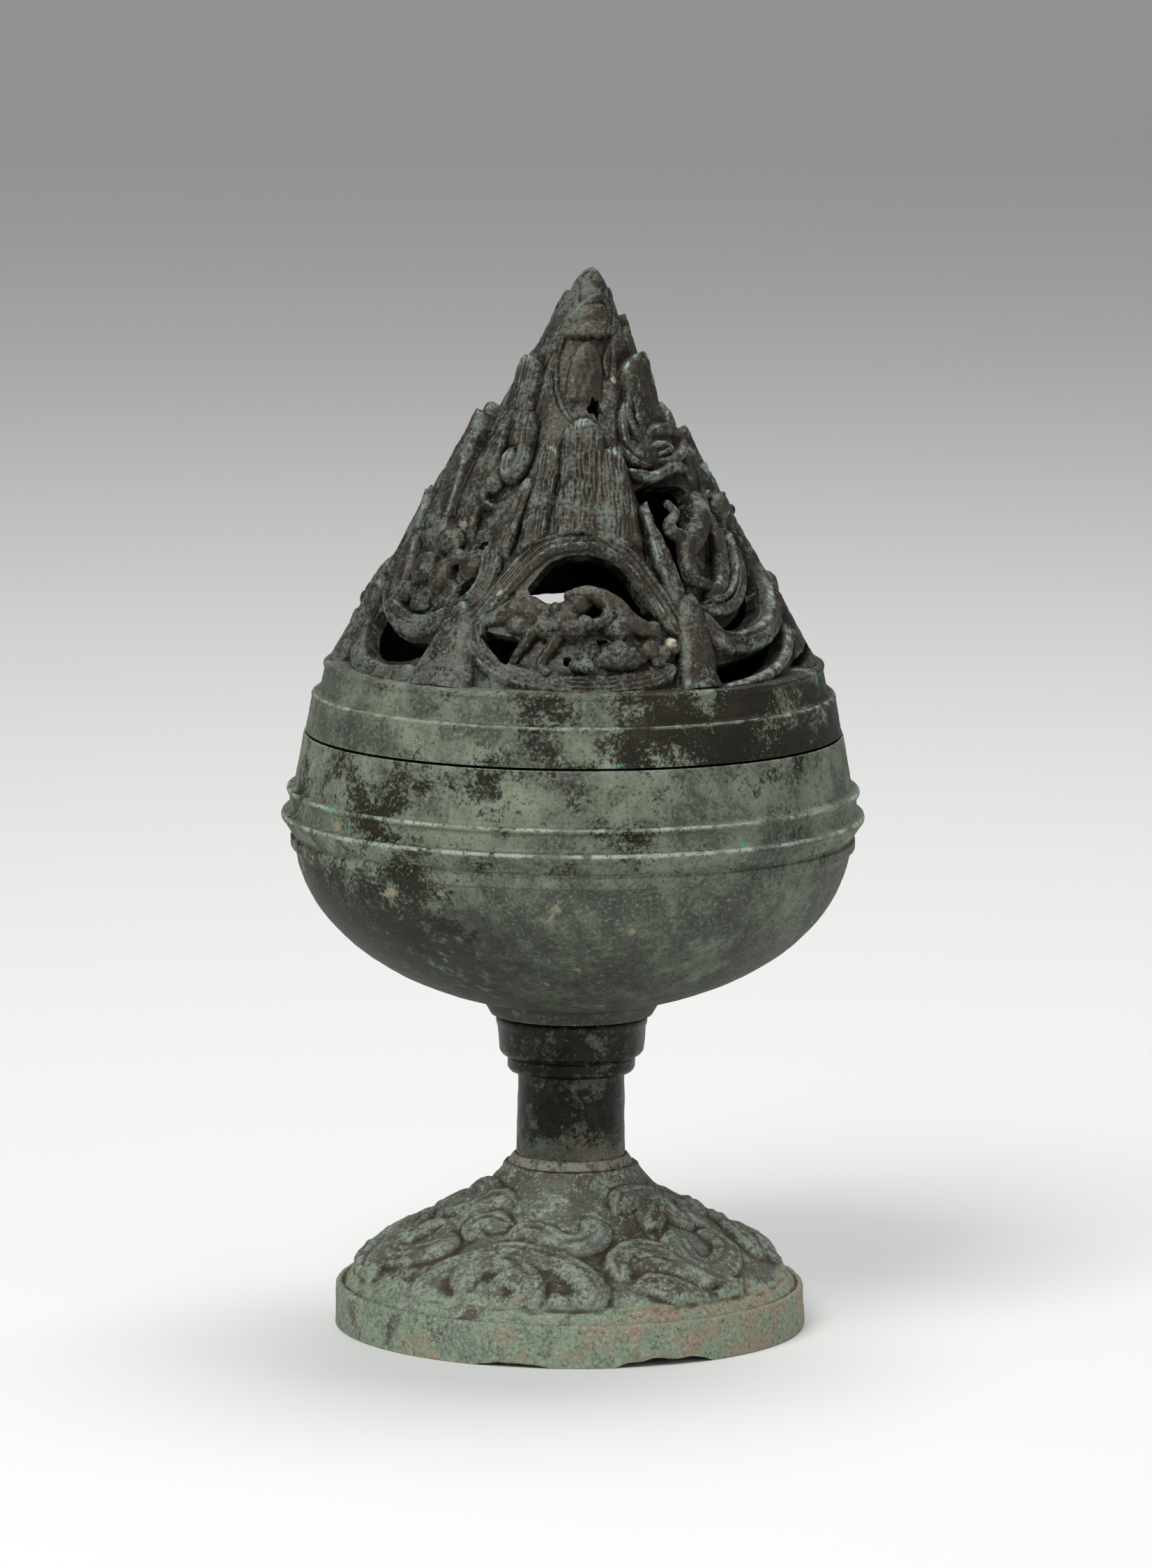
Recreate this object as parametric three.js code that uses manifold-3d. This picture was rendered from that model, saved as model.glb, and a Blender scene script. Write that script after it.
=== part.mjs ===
// A footed bronze incense burner: a round bowl on a stem and a domed foot, under an openwork lid in the
// form of a mountain. The lid lifts off to reach the charcoal, and smoke leaves through its openings.
// Millimetres, +Z up, origin at the centre of the ring that the foot stands on. Bearing 0 faces -Y.
import * as THREE from "three";
import { mergeVertices } from "three/addons/utils/BufferGeometryUtils.js";
import Module from "manifold-3d";

const wasm = await Module();
wasm.setup();

// Clearances between pieces
const fitGap = 0.3;
const lidGap = 0.5;
const lidBoreGap = 0.4;

// Foot: a vertical band, a steep shoulder and a low dome that ends in the stem's socket
const footRadius = 51;
const footBandDraft = 0.8;
const footBandHeight = 8.6;
const footShoulderRadius = 45.2;
const footShoulderHeight = 14.6;
const domeRadius = 42;
const domeEdgeHeight = 18.6;
const domeTopRadius = 17.4;
const domeTopHeight = 30.4;
const footNeckRadius = 14.4;
const footHeight = 35.3;
const footWall = 3;
const socketDepth = 4.8;
const socketLedge = 2.9;
const socketFloor = 3;

// Relief of wave coils on the dome
const coilCount = 6;
const coilRadius = 30.5;
const coilReach = 10.5;
const coilTurns = 1.2;
const coilRidge = 2.2;

// Stem: a plain hollow column, and the ring of solder at its lower end
const stemLowerRadius = 11.9;
const stemUpperRadius = 11.45;
const stemWall = 2.8;
const stemLength = 20.2;
const solderHeight = 1.9;
const solderWidth = 1.7;

// Collar between stem and bowl: a low ring under a taller drum
const collarRingRadius = 13.8;
const collarRingHeight = 3.7;
const drumLowerRadius = 15.6;
const drumUpperRadius = 16.3;
const drumHeight = 8.6;
const collarPlate = 5.4;

// Bowl: the lower part of an ellipsoid, a moulded belt, and a wall that leans in to the rim
const bowlHeight = 61.3;
const bowlRadius = 60;
const bowlDepth = 38;
const bowlMiddle = 39.1;
const bowlSeatRadius = 19.3;
const bowlWall = 2.8;
const beltLowerRadius = 60.9;
const beltLowerHeight = 3.2;
const beadRadius = 62.95;
const beadHeight = 7.4;
const beltUpperRadius = 61.5;
const beltUpperHeight = 2.8;
const upperWallRadius = 59.7;
const rimRadius = 58.1;
const rimSeat = 3.1;
const lipThickness = 1.8;
const lipHeight = 3.5;

// Rivet: an iron nail that draws the bowl down on the collar
const rivetRadius = 3.5;
const rivetHeadRadius = 7;
const rivetHeadHeight = 3.4;
const rivetTailRadius = 5.6;
const rivetTailHeight = 2.4;

// Lid: a band in two steps, and the mountain above it
const lidEdgeRadius = 57.9;
const lidLowerBandTop = 55.8;
const lidLowerBand = 8.8;
const lidStep = 0.7;
const lidUpperBandTop = 53.3;
const lidUpperBand = 6.4;
const mountainRadius = 49.4;
const mountainHeight = 80;
const summitRadius = 1.6;
const summitHeight = 84.9;
const summitLean = 3.3;
const lidWall = 2.4;
const vaultHeight = 62;
const rootDepth = 1.3;
const bandRelief = 2.6;

// Heights at which the figures sit: beasts under the arches, bears on a ledge, an ape in its niche
const beastLevel = 9.5;
const bearLevel = 24;
const apeLevel = 27;

// The hills stand at equal turns, with a valley between each two
const hillCount = 3;
const hillTurn = (2 * Math.PI) / hillCount;

// Fineness of the round forms
const wideSides = 36;
const narrowSides = 24;
const weldDistance = 1e-4;

const bronzeGreen = new THREE.MeshStandardMaterial({ color: 0x5a6a58, roughness: 0.75, metalness: 0.6 });
const bronzeBrown = new THREE.MeshStandardMaterial({ color: 0x45413a, roughness: 0.65, metalness: 0.7 });
const bronzePale = new THREE.MeshStandardMaterial({ color: 0x7d8f78, roughness: 0.85, metalness: 0.4 });
const ironRust = new THREE.MeshStandardMaterial({ color: 0x5b3b28, roughness: 0.9, metalness: 0.3 });
const solderGrey = new THREE.MeshStandardMaterial({ color: 0x9a8f84, roughness: 0.8, metalness: 0.4 });

const radians = THREE.MathUtils.degToRad;
const mix = THREE.MathUtils.lerp;

// A closed geometry as a solid whose faces point out
function solid(geometry) {
  const bare = geometry.clone();
  bare.deleteAttribute("normal");
  bare.deleteAttribute("uv");
  const welded = mergeVertices(bare, weldDistance);
  const index = welded.index.array;
  const faces = [];
  for (let i = 0; i < index.length; i += 3) {
    const [a, b, c] = index.slice(i, i + 3);
    if (a !== b && b !== c && c !== a) faces.push(a, b, c);
  }
  const vertProperties = new Float32Array(welded.attributes.position.array);
  const meshOf = (triVerts) => new wasm.Mesh({ numProp: 3, vertProperties, triVerts });
  const make = (list) => new wasm.Manifold(meshOf(new Uint32Array(list)));
  const made = make(faces);
  return made.volume() > 0 ? made : make(faces.reverse());
}

// A finished solid as a named mesh
function piece(name, made, material) {
  const { vertProperties, numProp, triVerts } = made.getMesh();
  const geometry = new THREE.BufferGeometry();
  geometry.setAttribute("position", new THREE.BufferAttribute(vertProperties, numProp));
  geometry.setIndex(new THREE.BufferAttribute(triVerts, 1));
  geometry.computeVertexNormals();
  const mesh = new THREE.Mesh(geometry, material);
  mesh.name = name;
  return mesh;
}

const joined = (solids) => solids.reduce((sum, next) => sum.add(next));
const cutBy = (made, cutters) => cutters.reduce((left, cutter) => left.subtract(cutter), made);

// The main body of a cut solid, without crumbs or pinched bubbles
const mainBody = (made) =>
  made.decompose().reduce((most, next) => (next.volume() > most.volume() ? next : most));

// A profile of [radius, height] points, outside upwards, turned about the vertical axis
function revolve(profile, sides) {
  const points = profile.map(([radius, height]) => new THREE.Vector2(radius, height));
  return solid(new THREE.LatheGeometry(points, sides).rotateX(Math.PI / 2));
}

// Points of an ellipse from one angle to another, in degrees from the outward direction
function arc(radius, height, halfWidth, halfHeight, from, to, steps) {
  return Array.from({ length: steps + 1 }, (_, i) => {
    const angle = radians(mix(from, to, i / steps));
    return [radius + halfWidth * Math.cos(angle), height + halfHeight * Math.sin(angle)];
  });
}

// Rings of equal point count skinned into a closed body with a fan at each end
function loft(rings) {
  const sides = rings[0].length;
  const last = (rings.length - 1) * sides;
  const faces = [];
  for (let start = 0; start < last; start += sides) {
    for (let j = 0; j < sides; j++) {
      const here = start + j;
      const next = start + ((j + 1) % sides);
      faces.push(here, next, next + sides, here, next + sides, here + sides);
    }
  }
  for (let j = 1; j + 1 < sides; j++) faces.push(0, j + 1, j, last, last + j, last + j + 1);
  const geometry = new THREE.BufferGeometry().setFromPoints(rings.flat());
  geometry.setIndex(faces);
  return solid(geometry);
}

// A point at a bearing, a distance from the axis and a height
const polar = (bearing, radius, height) =>
  new THREE.Vector3(radius * Math.sin(bearing), -radius * Math.cos(bearing), height);

// Levels of the stack, each from the piece below it
const socketRadius = stemLowerRadius + fitGap;
const socketLevel = footHeight - socketDepth;
const stemFootLevel = socketLevel + fitGap;
const collarLevel = footHeight + stemLength;
const drumLevel = collarLevel + collarRingHeight;
const drumTopLevel = drumLevel + drumHeight;
const collarPlateLevel = drumTopLevel - collarPlate;
const bowlLevel = drumTopLevel + fitGap;
const bowlFloor = bowlMiddle - bowlDepth + bowlWall;
const rimLevel = bowlLevel + bowlHeight;
const lidLevel = rimLevel + lidGap;
const bandHeight = lidLowerBand + lidUpperBand;

// Foot

const domeLevel = (radius) =>
  mix(domeEdgeHeight, domeTopHeight, (domeRadius - radius) / (domeRadius - domeTopRadius));

// A rounded ridge that spirals in to its centre over the dome
function waveCoil(bearing, hand) {
  const steps = 8;
  const rings = [];
  for (let i = 0; i <= steps; i++) {
    const along = i / steps;
    const turn = radians(205) - along * coilTurns * 2 * Math.PI;
    const reach = coilReach * (1 - 0.7 * along);
    const ridge = coilRidge * (1 - 0.3 * along);
    const ring = [];
    for (let k = 0; k < 4; k++) {
      const around = radians(90 * k);
      const away = reach + ridge * Math.cos(around);
      const radius = coilRadius - 0.95 * away * Math.sin(turn);
      const swing = bearing + (hand * 1.15 * away * Math.cos(turn)) / coilRadius;
      ring.push(polar(swing, radius, domeLevel(radius) + ridge * (0.8 * Math.sin(around) - 0.15)));
    }
    rings.push(ring);
  }
  return loft(rings);
}

// Shallow bites that corrosion has taken out of the standing edge
const rimChips = [
  { bearing: -14, half: 8, depth: 0.9 },
  { bearing: 24, half: 11, depth: 1.8 },
];

function rimChip({ bearing, half, depth }) {
  const bite = new THREE.SphereGeometry(1, 10, 8).scale(half, footWall * 2.5, depth);
  return solid(bite.translate(0, -footRadius, 0).rotateZ(radians(bearing)));
}

function foot() {
  const bandTop = footRadius - footBandDraft;
  const outside = revolve([
    [0, 0],
    [footRadius, 0],
    [bandTop, footBandHeight],
    [bandTop - 0.9, footBandHeight + 0.9],
    [footShoulderRadius, footShoulderHeight],
    [domeRadius, domeEdgeHeight],
    [domeTopRadius, domeTopHeight],
    [mix(footNeckRadius, domeTopRadius, 0.3), mix(domeTopHeight, footHeight, 0.35)],
    [footNeckRadius, footHeight],
    [0, footHeight],
  ], wideSides);
  const throat = socketRadius - socketLedge;
  const hollow = revolve([
    [0, -1],
    [footRadius - footWall, -1],
    [bandTop - footWall, footBandHeight - 1],
    [footShoulderRadius - footWall, footShoulderHeight - footWall],
    [domeRadius - footWall, domeEdgeHeight - footWall],
    [throat + 4, socketLevel - socketFloor],
    [throat, socketLevel - socketFloor],
    [throat, socketLevel],
    [socketRadius, socketLevel],
    [socketRadius, footHeight + 1],
    [0, footHeight + 1],
  ], wideSides);
  const coils = Array.from({ length: coilCount }, (_, i) =>
    waveCoil(((i + 0.5) * 2 * Math.PI) / coilCount, i % 2 ? 1 : -1));
  return cutBy(joined([outside, ...coils]), [hollow, ...rimChips.map(rimChip)]);
}

// Stem, solder ring, collar and rivet

function stem() {
  const topLevel = collarPlateLevel - fitGap;
  return revolve([
    [stemLowerRadius - stemWall, stemFootLevel],
    [stemLowerRadius, stemFootLevel],
    [stemLowerRadius, footHeight],
    [stemUpperRadius, collarLevel],
    [stemUpperRadius, topLevel],
    [stemUpperRadius - stemWall, topLevel],
    [stemLowerRadius - stemWall, stemFootLevel],
  ], narrowSides);
}

function solderRing() {
  const low = footHeight + fitGap;
  const inner = stemLowerRadius + fitGap;
  return revolve([
    [inner, low],
    ...arc(inner, low, solderWidth, solderHeight, 0, 90, 3),
    [inner, low],
  ], narrowSides);
}

function collar() {
  const bore = stemUpperRadius + fitGap;
  const hole = rivetRadius + fitGap;
  return revolve([
    [bore, collarLevel],
    [collarRingRadius - 0.6, collarLevel],
    [collarRingRadius, collarLevel + 1],
    [collarRingRadius, drumLevel - 0.5],
    [collarRingRadius - 0.4, drumLevel],
    [drumLowerRadius - 0.6, drumLevel],
    [drumLowerRadius, drumLevel + 0.9],
    [drumUpperRadius, drumTopLevel - 0.7],
    [drumUpperRadius - 0.5, drumTopLevel],
    [hole, drumTopLevel],
    [hole, collarPlateLevel],
    [bore, collarPlateLevel],
    [bore, collarLevel],
  ], narrowSides);
}

function rivet() {
  const headLevel = bowlLevel + bowlFloor + fitGap;
  const tailLevel = collarPlateLevel - fitGap;
  return revolve([
    [0, tailLevel - rivetTailHeight],
    [rivetTailRadius - 1, tailLevel - rivetTailHeight],
    [rivetTailRadius, tailLevel - rivetTailHeight / 2],
    [rivetTailRadius, tailLevel],
    [rivetRadius, tailLevel],
    [rivetRadius, headLevel],
    ...arc(0, headLevel, rivetHeadRadius, rivetHeadHeight, 0, 90, 4),
  ], 16);
}

// Bowl

const lipRadius = rimRadius - rimSeat;

function bowl() {
  const beltLevel = bowlMiddle - 2.3;
  const beadLevel = beltLevel + beltLowerHeight + beadHeight / 2;
  const stepLevel = beadLevel + beadHeight / 2;
  const wallFoot = stepLevel + beltUpperHeight;
  const outerAngle = (radius) => -THREE.MathUtils.radToDeg(Math.acos(radius / bowlRadius));
  const innerRadius = lipRadius - lipThickness;
  const hole = rivetRadius + fitGap;
  return revolve([
    [hole, 0],
    [bowlSeatRadius, 0],
    ...arc(0, bowlMiddle, bowlRadius, bowlDepth, outerAngle(bowlSeatRadius), -8, 5),
    [beltLowerRadius - 0.5, beltLevel],
    [beltLowerRadius, beltLevel + 0.6],
    [beltLowerRadius, beltLevel + beltLowerHeight],
    ...arc(beltLowerRadius, beadLevel, beadRadius - beltLowerRadius, beadHeight / 2, -70, 50, 3),
    [beltUpperRadius, stepLevel],
    [beltUpperRadius, wallFoot],
    [upperWallRadius, wallFoot + 2.4],
    [rimRadius, bowlHeight],
    [lipRadius, bowlHeight],
    [lipRadius, bowlHeight + lipHeight],
    [innerRadius, bowlHeight + lipHeight],
    [innerRadius, bowlHeight - 3],
    ...arc(0, bowlMiddle, bowlRadius - bowlWall, bowlDepth - bowlWall, 0, -74, 4),
    [rivetHeadRadius + 1.5, bowlFloor],
    [hole, bowlFloor],
    [hole, 0],
  ], wideSides);
}

// Lid: the mountain's skin is a cone, and every form on it is placed by bearing and height

const skinSlope = (mountainRadius - summitRadius) / mountainHeight;
const skinTilt = Math.atan(skinSlope);
const skinRadius = (height) => Math.max(mountainRadius - height * skinSlope, summitRadius);

// The point a distance sideways from a bearing, at a height, and so far out from the skin
function onSkin(bearing, sideways, height, out) {
  const radius = skinRadius(height);
  const reach = radius + out * Math.cos(skinTilt);
  return polar(bearing + sideways / radius, reach, height + out * Math.sin(skinTilt));
}

// A leaf-shaped peak: it leaves the skin at its root and stands clear of it at its rounded tip
const leafStations = [
  { along: 0, width: 1, relief: 0.35 },
  { along: 0.5, width: 0.84, relief: 0.7 },
  { along: 0.88, width: 0.56, relief: 1 },
  { along: 1, width: 0.2, relief: 0.8 },
];

function peak(hill, { turn, root, tip, half, relief }, grow) {
  const bearing = hill + radians(turn);
  return loft(leafStations.map((station) => {
    const height = mix(root, tip + grow, station.along);
    const width = half * station.width + grow;
    const front = [-1, 0, 1].map((across) =>
      onSkin(bearing, width * across, height, relief * station.relief * (1 - 0.6 * across ** 2) + grow));
    const back = [0.9, -0.9].map((across) => onSkin(bearing, width * across, height, -rootDepth));
    return [...front, ...back];
  }));
}

// A raised band along an arc of an ellipse: rise above zero makes an arch, below zero a trough
function ribbon(bearing, { half, crown, rise, spread, breadth, relief }, grow) {
  const steps = 6;
  const at = (turn) => [half * Math.sin(turn), crown - rise * (1 - Math.cos(turn))];
  const rings = [];
  for (let i = 0; i <= steps; i++) {
    const turn = radians(mix(-spread, spread, i / steps));
    const [sideways, height] = at(turn);
    const run = half * Math.cos(turn);
    const climb = -rise * Math.sin(turn);
    const scale = (breadth / 2 + grow) / Math.hypot(run, climb);
    const place = (across, out) =>
      onSkin(bearing, sideways - climb * scale * across, height + run * scale * across, out);
    rings.push([
      place(-1, 0.5 * relief + grow),
      place(0, relief + grow),
      place(1, 0.5 * relief + grow),
      place(0, -rootDepth),
    ]);
  }
  return loft(rings);
}

// A cutter through the wall in the form of a crescent between two arcs that meet at its ends
function crescent(hill, { turn, half, level, upper, lower }) {
  const bearing = hill + radians(turn);
  const steps = 5;
  const outline = [];
  for (let i = 0; i <= steps; i++) {
    const across = Math.cos((Math.PI * i) / steps);
    outline.push([half * across, level + upper * Math.sqrt(1 - across ** 2)]);
  }
  for (let i = 1; i < steps; i++) {
    const across = -Math.cos((Math.PI * i) / steps);
    outline.push([half * across, level + lower * Math.sqrt(1 - across ** 2)]);
  }
  const corners = outline.map(([x, y]) => new THREE.Vector2(x, y));
  const shape = THREE.ShapeUtils.triangulateShape(corners, []);
  const count = outline.length;
  const layers = [-lidWall * 3, lidWall * 3].map((out) =>
    outline.map(([sideways, height]) => onSkin(bearing, sideways, height, out)));
  const faces = [];
  for (const [a, b, c] of shape) faces.push(a, c, b, a + count, b + count, c + count);
  for (let j = 0; j < count; j++) {
    const next = (j + 1) % count;
    faces.push(j, next, next + count, j, next + count, j + count);
  }
  const geometry = new THREE.BufferGeometry().setFromPoints(layers.flat());
  geometry.setIndex(faces);
  return solid(geometry);
}

// What each hill carries: peaks over an arch, spires that flank it, and a hollow under the arch with a lip
const hillPeaks = [
  { turn: 3, root: 31, tip: 52.4, half: 6.5, relief: 4.4 },
  { turn: -13, root: 29, tip: 47.3, half: 4, relief: 3.9 },
  { turn: 20, root: 28, tip: 46.6, half: 4.2, relief: 3.9 },
  { turn: -23, root: 24, tip: 40.6, half: 3.8, relief: 3.6 },
  { turn: 31, root: 17, tip: 36, half: 4, relief: 3.6 },
  { turn: -35, root: -1, tip: 14.8, half: 5.5, relief: 3.2 },
  { turn: 35, root: -1, tip: 16.6, half: 5.5, relief: 3.2 },
];
const hillArch = { half: 19, crown: 28.2, rise: 16.5, spread: 86, breadth: 5.6, relief: bandRelief };
const hillLip = { half: 20, crown: 1.6, rise: -9.5, spread: 82, breadth: 3.4, relief: bandRelief };
const hillMouth = { turn: 3, half: 13, level: 14, upper: 11.2, lower: 3.8 };

// What each valley carries: nested troughs of water with gaps between them, and the taller peaks at its head
const valleyPeaks = [
  { turn: 2, root: 48, tip: 65, half: 5, relief: 4 },
  { turn: 28, root: 38, tip: 54, half: 4, relief: 3.6 },
  { turn: -28, root: 38, tip: 54, half: 4, relief: 3.6 },
  { turn: 10, root: 36, tip: 50, half: 3.2, relief: 3.4 },
];
const valleyTroughs = [
  { half: 16.5, crown: 10.2, rise: -15, spread: 92, breadth: 5, relief: bandRelief },
  { half: 20, crown: 1.6, rise: -9, spread: 76, breadth: 5, relief: bandRelief },
];
const valleyGaps = [
  { turn: 0, half: 10, level: 10.6, upper: -3, lower: -6.6 },
  { turn: -13, half: 7, level: 30, upper: 7, lower: -8 },
];

// Single openings that the pattern doesn't repeat
const loneGaps = [
  { turn: -20, half: 3.6, level: 8.4, upper: 1.4, lower: -2.6 },
  { turn: 13, half: 2.2, level: 56.2, upper: 1.8, lower: -2.2 },
];

const eachHill = (make) => Array.from({ length: hillCount }, (_, i) => make(i * hillTurn)).flat();
const eachValley = (make) => eachHill((bearing) => make(bearing + hillTurn / 2));

// The summit: a tapering spur that leans a little to the right of the axis
function summit(grow) {
  const stations = [
    { along: 0, radius: 16.5 },
    { along: 0.35, radius: 12.6 },
    { along: 0.6, radius: 8.6 },
    { along: 0.8, radius: 5 },
    { along: 0.94, radius: 2.6 },
    { along: 1, radius: summitRadius / 2 },
  ];
  const root = vaultHeight - 8;
  return loft(stations.map(({ along, radius }) => {
    const height = mix(root, summitHeight + grow, along);
    return Array.from({ length: 12 }, (_, i) => {
      const flute = i % 2 ? 1 : 0.88;
      const rim = polar((i * Math.PI) / 6, radius * flute + grow, height);
      return rim.setX(rim.x + summitLean * along);
    });
  }));
}

// The lid as a full body before it is hollowed; a grown copy makes room for the figures set on it
function mountain(grow) {
  const swell = grow / Math.cos(skinTilt);
  const skin = revolve([
    [0, -lidUpperBand],
    [mountainRadius - 1, -lidUpperBand],
    [mountainRadius + swell, 0],
    [skinRadius(vaultHeight) + swell, vaultHeight],
    [0, vaultHeight],
  ], wideSides);
  const onHills = eachHill((bearing) => [
    ...hillPeaks.map((spec) => peak(bearing, spec, grow)),
    ...[hillArch, hillLip].map((spec) => ribbon(bearing, spec, grow)),
  ]);
  const inValleys = eachValley((bearing) => [
    ...valleyPeaks.map((spec) => peak(bearing, spec, grow)),
    ...valleyTroughs.map((spec) => ribbon(bearing, spec, grow)),
  ]);
  return joined([skin, summit(grow), ...onHills, ...inValleys]);
}

function lidShell() {
  const band = revolve([
    [0, -bandHeight],
    [lidEdgeRadius, -bandHeight],
    [lidLowerBandTop, -lidUpperBand - 0.4],
    [lidLowerBandTop - lidStep, -lidUpperBand + 0.4],
    [lidUpperBandTop + 0.3, -0.8],
    [lidUpperBandTop - 0.5, 0],
    [0, 0],
  ], wideSides);
  const bore = lipRadius + lidBoreGap;
  const skinDepth = lidWall / Math.cos(skinTilt);
  const vault = revolve([
    [0, -bandHeight - 1],
    [bore, -bandHeight - 1],
    [bore, -bandHeight + lipHeight + 1.5],
    [lidLowerBandTop - lidWall - 0.6, -lidUpperBand - 0.4],
    [mountainRadius - skinDepth, 0],
    [skinRadius(vaultHeight) - skinDepth, vaultHeight],
    [0, vaultHeight + 3],
  ], wideSides);
  const gaps = [
    ...eachHill((bearing) => [crescent(bearing, hillMouth)]),
    ...eachValley((bearing) => valleyGaps.map((spec) => crescent(bearing, spec))),
    ...loneGaps.map((spec) => crescent(0, spec)),
  ];
  return mainBody(cutBy(band.add(mountain(0)), [vault, ...gaps]));
}

// Figures: small castings of rounded lumps and limbs, set on the skin with a fine joint

const lump = (x, y, z, rx, ry, rz) => new THREE.SphereGeometry(1, 6, 4).scale(rx, ry, rz).translate(x, y, z);

function limb(from, to, thick, thin) {
  const start = new THREE.Vector3(...from);
  const span = new THREE.Vector3(...to).sub(start);
  const shaft = new THREE.CylinderGeometry(thin, thick, span.length(), 4).translate(0, span.length() / 2, 0);
  const upright = new THREE.Vector3(0, 1, 0);
  const turn = new THREE.Quaternion().setFromUnitVectors(upright, span.clone().normalize());
  return shaft.applyQuaternion(turn).translate(start.x, start.y, start.z);
}

// A walking beast seen from the side; facing is 1 for a head to the right and -1 for the left
const beast = (facing) => [
  lump(facing * 2.6, 1.2, 1.4, 4, 3.6, 2.8),
  lump(-facing * 3, 1.2, 1.4, 4, 3.8, 2.8),
  lump(facing * 6.8, 2.8, 2.4, 2.9, 2.6, 2.4),
  limb([facing * 3.6, 0, 1.9], [facing * 5.2, -5, 1.9], 1.6, 1.1),
  limb([-facing * 4, 0, 1.9], [-facing * 5.4, -5, 1.9], 1.8, 1.2),
];

// A bear that squats facing out
const bear = () => [
  lump(0, 0, 1.6, 4.6, 5.2, 3.4),
  lump(0.6, 5.6, 2.6, 3.2, 2.9, 2.7),
  limb([-3, 1.4, 2.6], [-4.6, -3.8, 3], 1.8, 1.3),
  limb([3, 1.4, 2.6], [4.4, -3.8, 3], 1.8, 1.3),
];

// An ape that sits with one knee drawn up and one arm raised
const ape = () => [
  lump(-1, 0, 1.8, 4, 5.2, 3.2),
  lump(3.6, 6.4, 2.8, 2.9, 2.9, 2.6),
  limb([1.6, 3.4, 2.6], [6.2, 0.4, 3.4], 1.8, 1.3),
  limb([-2.6, 3.4, 2.6], [-5.6, 8.6, 3.4], 1.6, 1.1),
  limb([-1.6, -3, 2.8], [-3.4, -7.4, 3.4], 2, 1.4),
];

const figures = [
  { name: "front_tiger", bearing: -12, height: beastLevel, parts: beast(-1) },
  { name: "front_boar", bearing: 13, height: beastLevel, parts: beast(1) },
  { name: "right_ape", bearing: 46, height: apeLevel, parts: ape() },
  { name: "left_bear", bearing: -54, height: bearLevel, parts: bear() },
  { name: "rear_right_tiger", bearing: 121, height: beastLevel, parts: beast(-1) },
  { name: "rear_left_boar", bearing: -119, height: beastLevel, parts: beast(1) },
  { name: "rear_bear", bearing: 180, height: bearLevel, parts: bear() },
];

// One figure turned to its place, with whatever lies in the grown mountain cut away
function figure({ bearing, height, parts }, room) {
  const turn = radians(bearing);
  const origin = onSkin(turn, 0, height, 0);
  const right = polar(turn + Math.PI / 2, 1, 0);
  const outward = onSkin(turn, 0, height, 1).sub(origin);
  const upward = new THREE.Vector3().crossVectors(outward, right);
  const placing = new THREE.Matrix4().makeBasis(right, upward, outward).setPosition(origin);
  const body = joined(parts.map((part) => solid(part.clone().applyMatrix4(placing))));
  return mainBody(body.subtract(room));
}

const base = new THREE.Group();
base.name = "base";
base.add(piece("foot", foot(), bronzePale));
base.add(piece("stem", stem(), bronzeGreen));
base.add(piece("solder_ring", solderRing(), solderGrey));
base.add(piece("collar", collar(), bronzeGreen));
base.add(piece("rivet", rivet(), ironRust));
const bowlMesh = piece("bowl", bowl(), bronzeGreen);
bowlMesh.position.z = bowlLevel;
base.add(bowlMesh);

const lid = new THREE.Group();
lid.name = "lid";
lid.position.z = lidLevel + bandHeight;
lid.add(piece("lid_shell", lidShell(), bronzeBrown));
const room = mountain(fitGap);
for (const spec of figures) lid.add(piece(spec.name, figure(spec, room), bronzeBrown));

const root = new THREE.Group();
root.add(base, lid);

export default root;
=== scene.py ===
import bpy
import numpy as np
from mathutils import Matrix, Vector


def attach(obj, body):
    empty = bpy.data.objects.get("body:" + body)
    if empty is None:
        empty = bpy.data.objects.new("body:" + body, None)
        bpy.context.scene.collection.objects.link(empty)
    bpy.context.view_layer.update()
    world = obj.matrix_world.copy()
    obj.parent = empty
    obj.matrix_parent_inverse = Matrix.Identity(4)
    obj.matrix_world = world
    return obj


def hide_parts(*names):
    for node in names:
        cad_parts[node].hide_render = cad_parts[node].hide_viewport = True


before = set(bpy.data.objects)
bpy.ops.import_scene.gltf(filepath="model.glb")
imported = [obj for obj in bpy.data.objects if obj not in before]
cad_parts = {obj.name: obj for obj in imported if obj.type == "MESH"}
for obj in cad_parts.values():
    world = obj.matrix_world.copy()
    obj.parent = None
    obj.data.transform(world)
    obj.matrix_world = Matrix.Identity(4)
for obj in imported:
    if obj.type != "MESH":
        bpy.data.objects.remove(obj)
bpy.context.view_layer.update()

mm = 0.001
print("frame loaded:", len(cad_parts), "nodes")


def linear(tone):
    # sRGB hex to linear red, green and blue with full alpha
    part = np.array([int(tone[i:i + 2], 16) for i in (1, 3, 5)]) / 255
    curve = np.where(part <= 0.04045, part / 12.92, ((part + 0.055) / 1.055) ** 2.4)
    return (*curve.tolist(), 1.0)


def addNode(tree, kind, values=None, links=None, stops=None, **settings):
    # one node with its settings, socket values, links and, on a ramp, its colour stops
    node = tree.nodes.new(kind)
    for key, value in settings.items():
        setattr(node, key, value)
    for key, value in (values or {}).items():
        node.inputs[key].default_value = value
    for key, source in (links or {}).items():
        tree.links.new(source, node.inputs[key])
    for k, (place, tone) in enumerate(stops or []):
        dots = node.color_ramp.elements
        dot = dots[k] if k < 2 else dots.new(place)
        dot.position = place
        dot.color = linear(tone)
    return node


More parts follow.
